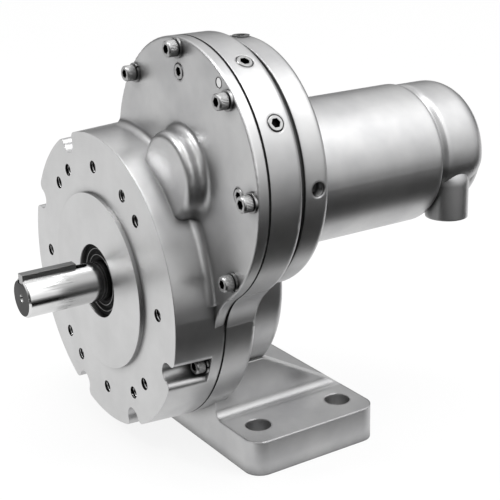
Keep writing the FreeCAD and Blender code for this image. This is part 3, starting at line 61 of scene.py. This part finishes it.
# The frame is in metres: -Y points out of the output shaft, +X to the right, +Z up.
# Sizes and places of the part are named in millimetres, and angles in degrees up from +X.
MM = 0.001


def node(name):
    return frame["nodes"][name]


def centre(name):
    low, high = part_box(name)
    return [(a + b) / 2 for a, b in zip(low, high)]


def on_circle(middle, radius, degrees, y):
    """Placement on a circle about a Y axis; each piece is turned differently about its own axis."""
    angle = math.radians(degrees)
    spot = (middle[0] + radius * MM * math.cos(angle), y, middle[2] + radius * MM * math.sin(angle))
    return Matrix.Translation(spot) @ Matrix.Rotation(0.7 * degrees, 4, "Y")


def inwards(middle, radius, degrees, y):
    """Placement on a drum about a Y axis, with the piece's own +Y towards that axis."""
    angle = math.radians(degrees)
    out = Vector((math.cos(angle), 0, math.sin(angle)))
    spot = Vector((middle[0], y, middle[2])) + out * radius * MM
    return Matrix.Translation(spot) @ (-out).to_track_quat("Y", "Z").to_matrix().to_4x4()


SHAFT = centre("output_shaft")
DRIVE = centre("rotor_shaft")

# Circles of the cover screws and of the flange's tapped holes, and the places on them
DISC_CIRCLE = 73.5
DISC_ANGLES = (-45, 0, 45, 90, 135)
LOBE_CIRCLE = 90.5
LOBE_ANGLES = (112.5, 157.5, 202.5, 247.5, 292.5, 337.5)
FACE_CIRCLE = 74.6
FACE_ANGLES = sorted(set(range(0, 360, 45)) | set(range(0, 360, 60)))
FACE_SPOTS = [on_circle(SHAFT, FACE_CIRCLE, degrees, 0).translation for degrees in FACE_ANGLES]

# Walls within this radius and depth belong to a tapped hole of the flange and are painted dark as shade. Its
# thread is placed this far behind the flange's face, and the turns behind the last depth are painted dark as
# shade.
TAPPED_RADIUS = 4.4
TAPPED_DEPTH = 14
FACE_THREAD_FRONT = 0.6
FACE_THREAD_SHADE_FROM = 3.6

# The faced front of flange and pilot ends at this Y; the shaft's sawn end, coloured near black as painted
# shade, reaches this deep
FACED_REAR = 0.3
SHADED_END_DEPTH = 0.5

# Cover screws: radii, heights, width across the socket's flats and its depth
SCREW_HEAD = 4.8
SCREW_HEIGHT = 6.35
SCREW_SHANK = 3.175
SCREW_LENGTH = 24
SCREW_FLATS = 4.76
SCREW_SOCKET = 3.2
SCREW_FLUTES = 36

# Pipe plugs, and where they sit
PLUG_RADIUS = 5.1
PLUG_LENGTH = 6.6
PLUG_FLATS = 4.8
PLUG_PROUD = 0.4
COVER_PLUG_CIRCLE = 60
COVER_PLUG_ANGLES = (0, 90)
BAND_PLUG_ANGLES = (30, 60)
BAND_PLUG_Y = 44.7

# Threads: radius of the wall, pitch, start and end along the hole, height of the ridge
FACE_THREAD = (3.98, 1.5875, 0.5, 12.4, 0.42)
VENT_THREAD = (4.38, 1.411, 0.9, 7.8, 0.45)
PORT_THREAD = (9.28, 1.814, 1.2, 15, 0.7)
VENT_Y = 68.3
PORT_SPREAD = 30
PORT_Y = 204.8
PORT_BOTTOM = 39

# Outsides of the castings
PLATE_FRONT = 25.7
PILOT_HEIGHT = 2.7
DISC_RADIUS = 79.7
LOBE_RADIUS = 97.1
RING_RADIUS = 75.4
BAND_REAR = 56

# The hollow waist: its radius, how far its webs reach into the solids, and their bevel. Then, for the
# web of each piece, what is added to the lobe's radius and how far it stays off the casting's end.
WAIST_HOLLOW = 42
WAIST_ROOT = 12
WAIST_BEVEL = 0.3
COVER_WEB_WIDER = -1
COVER_WEB_INSET = 0.02
HOUSING_WEB_WIDER = -0.3
HOUSING_WEB_INSET = 2
GASKET_WEB_WIDER = 0.1

# Gasket compound that is squeezed out on each side of the joint, together with painted shade of the groove
# there
SQUEEZED_AND_SHADED = 0.45

# Rear cap: its neck as places behind the cap's front with their radii, the drum and its rounding,
# and where it closes inside the solid. Beside the ports it sinks in by CAP_SINK; the last two are the
# sine of the angle below the axis at which that starts, and over how much more it grows.
CAP_RADIUS = 43.6
CAP_NECK = ((0.3, 38), (0.3, 40.4), (2.2, 40.4), (4.6, 41.6), (7, 43.2), (9, CAP_RADIUS))
CAP_ROUND = 17
CAP_CLOSED_BEFORE = 2
CAP_CLOSED_RADIUS = 24
CAP_SINK = 5.2
CAP_SINK_START = 0.04
CAP_SINK_SPAN = 0.6

# Fine rings of the oil seal, and the dark ring of painted shade round the dowel: radii, and thickness of the
# wire
SEAL_RINGS = (16.5, 20.5)
SEAL_WIRE = 0.22
DOWEL_GAP = 0.15
DOWEL_WIRE = 0.2

# Camera, found from the rims of the flange, disc, barrel and foot in the photograph: its place in
# metres, its turns in degrees and its lens in millimetres
CAMERA_PLACE = (0.6626, -0.3140, 0.2695)
CAMERA_TURN = 57.13
CAMERA_HEIGHT = 19.10
CAMERA_ROLL = -1.40
CAMERA_LENS = 87.48

# Lamps: name, place, target, width and height in metres, and power in watts
LAMPS = (
    ("key", (-0.3, -0.85, 1.1), (0, 0, 0), 0.25, 0.25, 6),
    ("top", (0.25, 0.2, 1.1), (0.1, 0.1, 0), 0.45, 1.0, 5.5),
)

# Floor, in metres: half its side, and its share of plain white to the camera and in reflections. In
# reflections it also has a painted shadow, a dark pool at the object's right: each step goes from one X to
# another, and from one share of dark to another.
FLOOR_REACH = 6.0
FLOOR_WHITE = 0.86
PAINTED_SHADOW_STEPS = ((0.11, 0.16, 0, 1), (0.4, 1.0, 1, 0.6))

# The room that lights the object and that it reflects: an even light, and more of it above and at
# the right rear. Each of these two has a direction, the cosines beside it between which the light
# grows, and its strength.
ROOM_BASE = 0.04
ROOM_LIGHTS = (((0, 0, 1), 0.1, 0.75, 1.1), ((0.72, 0.55, 0.42), 0.35, 0.9, 0.9))


# Materials

class Nodes:
    """A node tree, with short ways to add and join its nodes."""

    def __init__(self, tree):
        self.tree = tree

    def feed(self, source, socket):
        """Joins an output to a socket, or sets the socket to a number, vector or colour."""
        if isinstance(source, bpy.types.NodeSocket):
            self.tree.links.new(source, socket)
        else:
            socket.default_value = (*source, 1) if socket.type == "RGBA" else source

    def add(self, kind, **values):
        """A new node with some inputs fed and some settings made."""
        item = self.tree.nodes.new("ShaderNode" + kind)
        for key, value in values.items():
            if key in item.inputs:
                self.feed(value, item.inputs[key])
            else:
                setattr(item, key, value)
        return item

    def out(self, kind, *sources, **values):
        """The first output of a new node whose inputs are fed in their order."""
        item = self.add(kind, **values)
        for source, socket in zip(sources, item.inputs):
            self.feed(source, socket)
        return item.outputs[0]

    def ramp(self, source, low, high, low_out, high_out, **values):
        """A value mapped from one range to another."""
        return self.out("MapRange", source, low, high, low_out, high_out, **values)

    def along(self, axis, place):
        """How far a place lies along the axis X, Y or Z."""
        return self.out("SeparateXYZ", place).node.outputs[axis]


class Shader(Nodes):
    """A surface material whose colour, roughness and bump are built up in layers."""

    def __init__(self, name, color, metallic, roughness):
        self.material = bpy.data.materials.new(name)
        self.material.use_nodes = True
        super().__init__(self.material.node_tree)
        self.surface = self.tree.nodes["Principled BSDF"].inputs
        self.feed(color, self.surface["Base Color"])
        self.feed(metallic, self.surface["Metallic"])
        self.feed(roughness, self.surface["Roughness"])
        self.place = self.add("TexCoord").outputs["Object"]
        self.colour = None
        self.normal = None

    def noise(self, scale, detail, stretch=None):
        place = self.out("Mapping", self.place, Scale=stretch) if stretch else self.place
        return self.out("TexNoise", place, Scale=scale, Detail=detail, Roughness=0.6)

    def mix(self, share, first, second, **values):
        """Base colour mixed from two colours; a Mix node has its colours at inputs 6 and 7."""
        item = self.add("Mix", data_type="RGBA", **values)
        for source, number in ((share, 0), (first, 6), (second, 7)):
            self.feed(source, item.inputs[number])
        self.colour = item.outputs[2]
        self.feed(self.colour, self.surface["Base Color"])

    def clouds(self, scale, color, darker):
        """Faint clouds between a darker colour and the colour itself."""
        self.mix(self.ramp(self.noise(scale, 3), 0.35, 0.65, 0, 1), darker, color)

    def painted_corner_shade(self, reach, darkest):
        """Painted shade: darkens the colour in corners and beside screw heads, where shade falls."""
        near = self.add("AmbientOcclusion", samples=6, Distance=reach)
        shade = self.ramp(near.outputs["AO"], 0.35, 0.95, darkest, 1)
        self.mix(1.0, self.colour, shade, blend_type="MULTIPLY")

    def seam(self, front, rear, color):
        """A thin line of another colour between two places in Y."""
        inside = self.out("Math", self.along("Y", self.place), (front + rear) / 2, (rear - front) / 2,
                          operation="COMPARE")
        self.mix(inside, self.colour, color)

    def rough(self, grain, low, high):
        """Roughness between two values, by a grain."""
        self.feed(self.ramp(grain, 0.3, 0.7, low, high), self.surface["Roughness"])

    def bump(self, source, depth, strength):
        """Adds one more layer of bump, depth in millimetres."""
        layer = self.add("Bump", Strength=strength, Distance=depth * MM, Height=source)
        if self.normal:
            self.feed(self.normal, layer.inputs["Normal"])
        self.normal = layer.outputs["Normal"]
        self.feed(self.normal, self.surface["Normal"])

    def soft_edges(self, radius):
        """Rounds the look of hard edges, radius in millimetres."""
        self.normal = self.out("Bevel", radius * MM, samples=4)
        self.feed(self.normal, self.surface["Normal"])


def scaled(color, share):
    return tuple(c * share for c in color)


def cast_aluminium():
    """Die cast and lacquered: fine grain, faint clouds, soft edges, painted shade in corners, and the dark
    line of the gasket widened by painted shade of the joint's groove.
    """
    shader = Shader("cast_aluminium", (0.5, 0.5, 0.5), 0.96, 0.34)
    shader.soft_edges(1.8)
    shader.clouds(26, (0.53, 0.53, 0.53), (0.44, 0.44, 0.445))
    # Painted shade in corners and beside screw heads
    shader.painted_corner_shade(8 * MM, 0.3)
    # The gasket's dark line, widened past the gasket with painted shade of the joint's groove
    front, rear = (corner[1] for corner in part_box("cover_gasket"))
    shader.seam(front - SQUEEZED_AND_SHADED * MM, rear + SQUEEZED_AND_SHADED * MM, (0.01, 0.01, 0.01))
    grain = shader.noise(1100, 4)
    shader.rough(grain, 0.29, 0.4)
    shader.bump(grain, 0.03, 0.4)
    shader.bump(shader.noise(150, 4), 0.08, 0.3)
    return shader.material


def machined_face(name, axis, color, roughness):
    """Bright metal faced on a lathe: fine rings about a Y axis."""
    shader = Shader(name, color, 1.0, roughness)
    across = shader.out("Mapping", shader.place, Location=(-axis[0], 0, -axis[2]), Scale=(1, 0, 1))
    length = shader.out("VectorMath", across, operation="LENGTH").node.outputs["Value"]
    rings = shader.out("TexNoise", noise_dimensions="1D", W=length, Scale=2600.0, Detail=3.0)
    shader.clouds(30, color, scaled(color, 0.92))
    # Painted shade in corners, such as along the pilot's step
    shader.painted_corner_shade(5 * MM, 0.45)
    shader.rough(rings, roughness - 0.05, roughness + 0.07)
    shader.bump(rings, 0.02, 0.35)
    return shader.material


def turned_steel(name, color, roughness, marks_depth=0.004):
    """Ground steel with fine marks round the shaft's axis."""
    shader = Shader(name, color, 1.0, roughness)
    shader.soft_edges(0.25)
    shader.clouds(40, color, scaled(color, 0.9))
    # Painted shade in corners and beside screw heads
    shader.painted_corner_shade(7 * MM, 0.12)
    marks = shader.noise(60, 5, stretch=(1, 60, 1))
    shader.rough(marks, roughness - 0.04, roughness + 0.05)
    shader.bump(marks, marks_depth, 0.3)
    return shader.material


def dull(name, color, roughness, grain_scale=500):
    """Rubber, gasket and other dull materials with a fine grain."""
    shader = Shader(name, color, 0.0, roughness)
    shader.feed(0.1, shader.surface["Specular IOR Level"])
    shader.mix(shader.noise(60, 3), scaled(color, 0.75), scaled(color, 1.2))
    grain = shader.noise(grain_scale, 4)
    shader.rough(grain, roughness - 0.08, roughness + 0.1)
    shader.bump(grain, 0.05, 0.5)
    return shader.material


CAST = cast_aluminium()
FACED = machined_face("faced_aluminium", SHAFT, (0.62, 0.62, 0.62), 0.36)
STEEL = turned_steel("ground_steel", (0.74, 0.74, 0.74), 0.15)
# The shaft's end face: near-black steel, painted shade
SHADED_END_STEEL = turned_steel("shaft_end_painted_shade", (0.02, 0.02, 0.02), 0.4)
# Near-black steel: painted shade inside holes and sockets, on the deeper turns of threads and round the dowel
HOLE_SHADE = turned_steel("painted_hole_shade", (0.05, 0.05, 0.05), 0.45)
GEAR_STEEL = turned_steel("gear_steel", (0.38, 0.38, 0.385), 0.34, 0.01)
SCREW_STEEL = turned_steel("screw_steel", (0.4, 0.4, 0.4), 0.3, 0.006)
IRON = turned_steel("cast_iron", (0.28, 0.28, 0.285), 0.42, 0.015)
BRONZE = turned_steel("bronze", (0.62, 0.43, 0.2), 0.34)
RUBBER = dull("seal_rubber", (0.006, 0.006, 0.006), 0.62)
GASKET = dull("gasket", (0.006, 0.006, 0.006), 0.8, grain_scale=900)
COMPOSITE = dull("vane_composite", (0.2, 0.13, 0.07), 0.55, grain_scale=300)

SLOT_MATERIALS = {
    "cast_aluminium": CAST, "steel": STEEL, "gear_steel": GEAR_STEEL, "screw_steel": SCREW_STEEL,
    "seal_rubber": RUBBER, "gasket": GASKET, "iron": IRON, "bronze": BRONZE, "vane_composite": COMPOSITE,
}


def dress_nodes():
    """Every CAD node gets the material of its slot."""
    for entry in frame["record"]["subparts"]:
        data = node(entry["node"]).data
        data.materials.clear()
        data.materials.append(SLOT_MATERIALS[entry["material_slot"]])


def dress_faces(name, material, test):
    """The faces of a node that pass a test of centre and normal get another material."""
    data = node(name).data
    data.materials.append(material)
    number = len(data.materials) - 1
    for face in data.polygons:
        if test(face.center, face.normal):
            face.material_index = number


def is_faced(place, normal):
    """True on the front of the flange and its pilot."""
    return place.y < FACED_REAR * MM and normal.y < -0.5


def in_tapped_hole(place, normal):
    """True on the walls of the flange's tapped holes, which are painted dark as shade."""
    if abs(normal.y) > 0.3 or place.y > TAPPED_DEPTH * MM:
        return False
    return any(math.hypot(place.x - spot.x, place.z - spot.z) < TAPPED_RADIUS * MM for spot in FACE_SPOTS)


# Pieces with finer detail than the CAD solids

def add_piece(name, bm, materials):
    """Turns a finished bmesh into a piece that rides on the housing."""
    bmesh.ops.recalc_face_normals(bm, faces=bm.faces)
    data = bpy.data.meshes.new(name)
    bm.to_mesh(data)
    bm.free()
    for material in materials:
        data.materials.append(material)
    piece = bpy.data.objects.new(name, data)
    bpy.context.collection.objects.link(piece)
    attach(piece, "housing")
    return piece


def round_y(radius, angle, y):
    """A point about a local Y axis, from millimetres."""
    return Vector((radius * math.cos(angle), y, radius * math.sin(angle))) * MM


def ring_of(bm, place, radii, y):
    """A closed ring of points across a local Y axis, one radius each."""
    step = math.tau / len(radii)
    return [bm.verts.new(place @ round_y(radius, step * i, y)) for i, radius in enumerate(radii)]


def skin(bm, rings, material=0):
    """Faces between rings of equally many points."""
    for first, second in zip(rings, rings[1:]):
        count = len(first)
        for i in range(count):
            j = (i + 1) % count
            bm.faces.new((first[i], first[j], second[j], second[i])).material_index = material


def closed_skin(bm, rings, shade_from=None):
    """Faces between rings and over both ends; behind the ring given by the last argument they take the second
    material, which paints shade there.
    """
    if shade_from is None:
        skin(bm, rings)
    else:
        skin(bm, rings[:shade_from + 1])
        skin(bm, rings[shade_from:], 1)
    bm.faces.new(rings[0])
    bm.faces.new(rings[-1])


def hexagon(flats, count, share=1.0):
    """The radii of a hexagon's outline at equally spaced angles."""
    apothem = flats / 2 * share
    return [apothem / math.cos((math.tau * i / count) % (math.pi / 3) - math.pi / 6) for i in range(count)]


def socket_screw(bm, place):
    """A knurled socket cap screw: its head's underside at the place, its shank along +Y."""
    per_flute = 4
    count = SCREW_FLUTES * per_flute
    knurl = [SCREW_HEAD * (0.972 if i % per_flute >= per_flute // 2 else 1.0) for i in range(count)]
    plain = [SCREW_HEAD * 0.955] * count
    socket = hexagon(SCREW_FLATS, count)
    profile = (
        ([SCREW_SHANK * 0.8] * count, SCREW_LENGTH),
        ([SCREW_SHANK] * count, SCREW_LENGTH - 0.2 * SCREW_SHANK),
        ([SCREW_SHANK] * count, 0),
        ([SCREW_HEAD * 0.93] * count, 0),
        (plain, -0.06 * SCREW_HEIGHT),
        (knurl, -0.1 * SCREW_HEIGHT),
        (knurl, -0.78 * SCREW_HEIGHT),
        (plain, -0.82 * SCREW_HEIGHT),
        (plain, -0.92 * SCREW_HEIGHT),
        ([SCREW_HEAD * 0.86] * count, -SCREW_HEIGHT),
        (hexagon(SCREW_FLATS, count, 1.1), -SCREW_HEIGHT),
        (socket, -0.97 * SCREW_HEIGHT),
        (socket, SCREW_SOCKET - SCREW_HEIGHT),
        ([SCREW_FLATS * 0.02] * count, SCREW_SOCKET + 0.25 * SCREW_FLATS - SCREW_HEIGHT),
    )
    # The socket's inside takes the second material: painted shade
    closed_skin(bm, [ring_of(bm, place, radii, y) for radii, y in profile], shade_from=11)


def pipe_plug(bm, place):
    """A bevelled plug with a hexagon socket: its outer face at the place, its body along +Y."""
    count = 96
    socket = hexagon(PLUG_FLATS, count)
    profile = (
        ([PLUG_RADIUS * 0.97] * count, PLUG_LENGTH),
        ([PLUG_RADIUS * 0.99] * count, 0.94 * PLUG_LENGTH),
        ([PLUG_RADIUS * 0.99] * count, 0.2 * PLUG_RADIUS),
        ([PLUG_RADIUS * 0.86] * count, 0.03 * PLUG_RADIUS),
        ([PLUG_RADIUS * 0.82] * count, 0),
        (hexagon(PLUG_FLATS, count, 1.06), 0),
        (socket, 0.07 * PLUG_RADIUS),
        (socket, 0.5 * PLUG_LENGTH),
        ([PLUG_FLATS * 0.02] * count, 0.5 * PLUG_LENGTH + 0.2 * PLUG_FLATS),
    )
    # The socket's inside takes the second material: painted shade
    closed_skin(bm, [ring_of(bm, place, radii, y) for radii, y in profile], shade_from=6)


def thread(bm, place, sizes, steps=28):
    """A screw thread as one ridge that winds along a local Y axis, on the inside of a wall."""
    radius, pitch, start, end, depth = sizes
    count = int((end - start) / pitch * steps)
    rows = []
    for i in range(count + 1):
        turn = i / steps
        crest = radius - depth * min(1.0, turn, (count - i) / steps)
        ridge = ((radius, -0.44), (crest, -0.07), (crest, 0.07), (radius, 0.44))
        rows.append([bm.verts.new(place @ round_y(r, math.tau * turn, start + pitch * (turn + shift)))
                     for r, shift in ridge])
    closed_skin(bm, rows)


def make_cover_screws():
    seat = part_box("lock_washers")[0][1]
    bm = bmesh.new()
    for middle, radius, angles in ((DRIVE, DISC_CIRCLE, DISC_ANGLES), (SHAFT, LOBE_CIRCLE, LOBE_ANGLES)):
        for degrees in angles:
            socket_screw(bm, on_circle(middle, radius, degrees, seat))
    piece = add_piece("knurled_cover_screws", bm, (SCREW_STEEL, HOLE_SHADE))
    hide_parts("cover_screws")


def make_plugs():
    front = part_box("front_cover")[0][1] + (PLATE_FRONT + PILOT_HEIGHT - PLUG_PROUD) * MM
    bm = bmesh.new()
    for degrees in COVER_PLUG_ANGLES:
        pipe_plug(bm, on_circle(DRIVE, COVER_PLUG_CIRCLE, degrees, front))
    piece = add_piece("bevelled_cover_plugs", bm, (SCREW_STEEL, HOLE_SHADE))
    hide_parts("cover_plugs")
    bm = bmesh.new()
    for degrees in BAND_PLUG_ANGLES:
        pipe_plug(bm, inwards(DRIVE, DISC_RADIUS + PLUG_PROUD, degrees, BAND_PLUG_Y * MM))
    piece = add_piece("bevelled_band_plugs", bm, (SCREW_STEEL, HOLE_SHADE))
    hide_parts("housing_plugs")


def make_face_threads():
    """Threads of the flange's tapped holes; their deeper turns are painted dark as shade."""
    bm = bmesh.new()
    for degrees in FACE_ANGLES:
        thread(bm, on_circle(SHAFT, FACE_CIRCLE, degrees, FACE_THREAD_FRONT * MM), FACE_THREAD)
    for face in bm.faces:
        face.material_index = int(face.calc_center_median().y > FACE_THREAD_SHADE_FROM * MM)
    add_piece("face_hole_threads", bm, (STEEL, HOLE_SHADE))


def make_port_threads():
    """Threads of the open hole in the planet ring and of both air ports."""
    bm = bmesh.new()
    thread(bm, inwards(DRIVE, RING_RADIUS, 0, VENT_Y * MM), VENT_THREAD)
    add_piece("vent_hole_thread", bm, (SCREW_STEEL,))
    bm = bmesh.new()
    mouths = centre("motor_barrel")[2] - PORT_BOTTOM * MM
    for side in (1, -1):
        spot = Matrix.Translation((DRIVE[0] + side * PORT_SPREAD * MM, PORT_Y * MM, mouths))
        thread(bm, spot @ Matrix.Rotation(math.pi / 2, 4, "X"), PORT_THREAD, steps=48)
    add_piece("air_port_threads", bm, (SCREW_STEEL,))


def waist_outline(lobe_radius, steps=24):
    """The hollow that joins the outlines of disc and lobe on the right, as points in XZ.

    A circle touches both outlines from outside; the section runs along it and back through the solids.
    """
    disc = Vector((DRIVE[0], DRIVE[2]))
    lobe = Vector((SHAFT[0], SHAFT[2]))
    across = disc - lobe
    to_disc = (DISC_RADIUS + WAIST_HOLLOW) * MM
    to_lobe = (lobe_radius + WAIST_HOLLOW) * MM
    along = (to_lobe ** 2 - to_disc ** 2 + across.length ** 2) / (2 * across.length)
    aside = math.sqrt(to_lobe ** 2 - along ** 2)
    ahead = across.normalized()
    out = Vector((ahead.y, -ahead.x))
    middle = lobe + ahead * along + out * aside
    first = (disc - middle).normalized()
    last = (lobe - middle).normalized()
    points = [middle + first.lerp(last, i / steps).normalized() * WAIST_HOLLOW * MM for i in range(steps + 1)]
    points.append((points[0] + points[-1]) / 2 - out * WAIST_ROOT * MM)
    return points


def prism(bm, outline, front, rear, bevel):
    """A prism of an XZ outline between two places in Y."""
    inner = sum(outline, Vector((0, 0))) / len(outline)
    rings = []
    for y, inset in ((front, bevel), (front + bevel, 0), (rear - bevel, 0), (rear, bevel)):
        ring = []
        for point in outline:
            spot = point + (inner - point).normalized() * inset * MM
            ring.append(bm.verts.new((spot.x, y * MM, spot.y)))
        rings.append(ring)
    closed_skin(bm, rings)


def make_waist():
    """Cover, gasket and housing fill the hollow waist between disc and lobe."""
    seal_front, seal_rear = (corner[1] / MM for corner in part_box("cover_gasket"))
    castings = bmesh.new()
    prism(castings, waist_outline(LOBE_RADIUS + COVER_WEB_WIDER), PLATE_FRONT + COVER_WEB_INSET, seal_front,
          WAIST_BEVEL)
    prism(castings, waist_outline(LOBE_RADIUS + HOUSING_WEB_WIDER), seal_rear, BAND_REAR - HOUSING_WEB_INSET,
          WAIST_BEVEL)
    seal = bmesh.new()
    prism(seal, waist_outline(LOBE_RADIUS + GASKET_WEB_WIDER), seal_front, seal_rear, 0)
    add_piece("waist_of_castings", castings, (CAST,))
    add_piece("waist_of_gasket", seal, (GASKET,))


def make_cap_cover():
    """The rear cap's full outside: wider above, and down to the solid's own radius beside the ports."""
    middle = centre("motor_barrel")
    front, rear = (corner[1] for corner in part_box("rear_cap"))
    length = (rear - front) / MM
    profile = list(CAP_NECK)
    for bend in (math.radians(7.5 * k) for k in range(13)):
        profile.append((length - CAP_ROUND * (1 - math.sin(bend)),
                        CAP_RADIUS - CAP_ROUND * (1 - math.cos(bend))))
    profile.append((length - CAP_CLOSED_BEFORE, CAP_CLOSED_RADIUS))
    count = 144
    sink = []
    for i in range(count):
        below = -math.sin(math.tau * i / count)
        share = min(1.0, max(0.0, (below - CAP_SINK_START) / CAP_SINK_SPAN))
        sink.append(CAP_SINK * share * share * (3 - 2 * share))
    bm = bmesh.new()
    place = Matrix.Translation((middle[0], front, middle[2]))
    closed_skin(bm, [ring_of(bm, place, [wide - less for less in sink], y) for y, wide in profile])
    add_piece("rear_cap_outside", bm, (CAST,))


def wire_ring(bm, middle, radius, y, thickness, steps=96, sides=8):
    """A fine round ring about a Y axis."""
    place = Matrix.Translation((middle[0], 0, middle[2]))
    hoops = []
    for turn in (math.tau * i / steps for i in range(steps)):
        hoops.append([bm.verts.new(place @ round_y(radius + thickness * math.cos(around), turn,
                                                   y + thickness * math.sin(around)))
                      for around in (math.tau * k / sides for k in range(sides))])
    skin(bm, hoops + hoops[:1])


def make_rings():
    """Bright spring rings of the oil seal, and a dark rim of painted shade round the dowel's hole."""
    bm = bmesh.new()
    seal_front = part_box("oil_seal")[0][1] / MM
    for radius in SEAL_RINGS:
        wire_ring(bm, SHAFT, radius, seal_front, SEAL_WIRE)
    add_piece("seal_rings", bm, (SCREW_STEEL,))
    low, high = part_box("locating_dowel")
    bm = bmesh.new()
    wire_ring(bm, centre("locating_dowel"), (high[0] - low[0]) / 2 / MM + DOWEL_GAP, PLATE_FRONT, DOWEL_WIRE)
    add_piece("dowel_shade_rim", bm, (HOLE_SHADE,))


dress_nodes()
make_rings()
make_waist()
make_cap_cover()
make_cover_screws()
make_plugs()
make_face_threads()
make_port_threads()
dress_faces("front_cover", FACED, is_faced)
# The walls of the flange's tapped holes are painted dark as shade
dress_faces("front_cover", HOLE_SHADE, in_tapped_hole)
# The shaft's end face is painted near black as shade
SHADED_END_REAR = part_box("output_shaft")[0][1] + SHADED_END_DEPTH * MM
dress_faces("output_shaft", SHADED_END_STEEL, lambda place, normal: normal.y < -0.9 and place.y < SHADED_END_REAR)


# Stage, light and camera

def area_light(name, place, target, width, height, power):
    data = bpy.data.lights.new(name, "AREA")
    data.shape = "RECTANGLE"
    data.size = width
    data.size_y = height
    data.energy = power
    light = bpy.data.objects.new(name, data)
    light.location = place
    light.rotation_euler = (Vector(target) - Vector(place)).to_track_quat("-Z", "Y").to_euler()
    bpy.context.collection.objects.link(light)


def make_stage():
    """White paper under the object, which keeps the object's shadow; in reflections it also shows a painted
    shadow at the object's right.
    """
    low = CAD_BOX[0][2]
    mesh = bpy.data.meshes.new("floor")
    corners = [(x * FLOOR_REACH, y * FLOOR_REACH, low) for x, y in ((-1, -1), (1, -1), (1, 1), (-1, 1))]
    mesh.from_pydata(corners, [], [(0, 1, 2, 3)])
    floor = bpy.data.objects.new("floor", mesh)
    bpy.context.collection.objects.link(floor)
    material = bpy.data.materials.new("floor_paper")
    material.use_nodes = True
    nodes = Nodes(material.node_tree)
    paper = nodes.tree.nodes["Principled BSDF"]
    nodes.feed((0.8, 0.8, 0.8), paper.inputs["Base Color"])
    nodes.feed(0.9, paper.inputs["Roughness"])
    path = nodes.add("LightPath").outputs
    seen = nodes.out("Math", path["Is Camera Ray"], path["Is Glossy Ray"], operation="ADD")
    white = nodes.out("Math", seen, FLOOR_WHITE, operation="MULTIPLY")
    lit = nodes.out("MixShader", white, paper.outputs[0], nodes.out("Emission", Strength=1.0))
    across = nodes.along("X", nodes.add("TexCoord").outputs["Object"])
    # Painted shadow: in reflections the floor turns dark at the object's right
    dark = path["Is Glossy Ray"]
    for step in PAINTED_SHADOW_STEPS:
        dark = nodes.out("Math", dark, nodes.ramp(across, *step), operation="MULTIPLY")
    shown = nodes.out("MixShader", dark, lit, nodes.out("Emission", Strength=0.0))
    nodes.feed(shown, nodes.tree.nodes["Material Output"].inputs["Surface"])
    mesh.materials.append(material)


def make_world():
    """White to the camera, and to everything else the room."""
    world = bpy.data.worlds.new("studio")
    bpy.context.scene.world = world
    world.use_nodes = True
    nodes = Nodes(world.node_tree)
    towards = nodes.add("TexCoord").outputs["Generated"]
    strength = ROOM_BASE
    for direction, low, high, most in ROOM_LIGHTS:
        share = nodes.out("VectorMath", towards, direction, operation="DOT_PRODUCT").node.outputs["Value"]
        light = nodes.ramp(share, low, high, 0, most, interpolation_type="SMOOTHSTEP")
        strength = nodes.out("Math", light, strength, operation="ADD")
    room = nodes.tree.nodes["Background"]
    nodes.feed((1, 1, 1), room.inputs["Color"])
    nodes.feed(strength, room.inputs["Strength"])
    white = nodes.out("Background", (1, 1, 1), 1.0)
    camera_ray = nodes.add("LightPath").outputs["Is Camera Ray"]
    shown = nodes.out("MixShader", camera_ray, room.outputs[0], white)
    nodes.feed(shown, nodes.tree.nodes["World Output"].inputs["Surface"])


def make_camera():
    turn = math.radians(CAMERA_TURN)
    height = math.radians(CAMERA_HEIGHT)
    back = Vector((math.sin(turn) * math.cos(height), -math.cos(turn) * math.cos(height), math.sin(height)))
    right = Vector((math.cos(turn), math.sin(turn), 0))
    up = back.cross(right)
    roll = Matrix.Rotation(math.radians(CAMERA_ROLL), 3, back)
    axes = Matrix((roll @ right, roll @ up, back)).transposed()
    data = bpy.data.cameras.new("camera")
    data.lens = CAMERA_LENS
    data.sensor_width = 36
    camera = bpy.data.objects.new("camera", data)
    camera.matrix_world = Matrix.Translation(CAMERA_PLACE) @ axes.to_4x4()
    bpy.context.collection.objects.link(camera)
    bpy.context.scene.camera = camera


make_stage()
make_world()
make_camera()
for lamp in LAMPS:
    area_light(*lamp)
bpy.context.scene.view_settings.view_transform = "Standard"
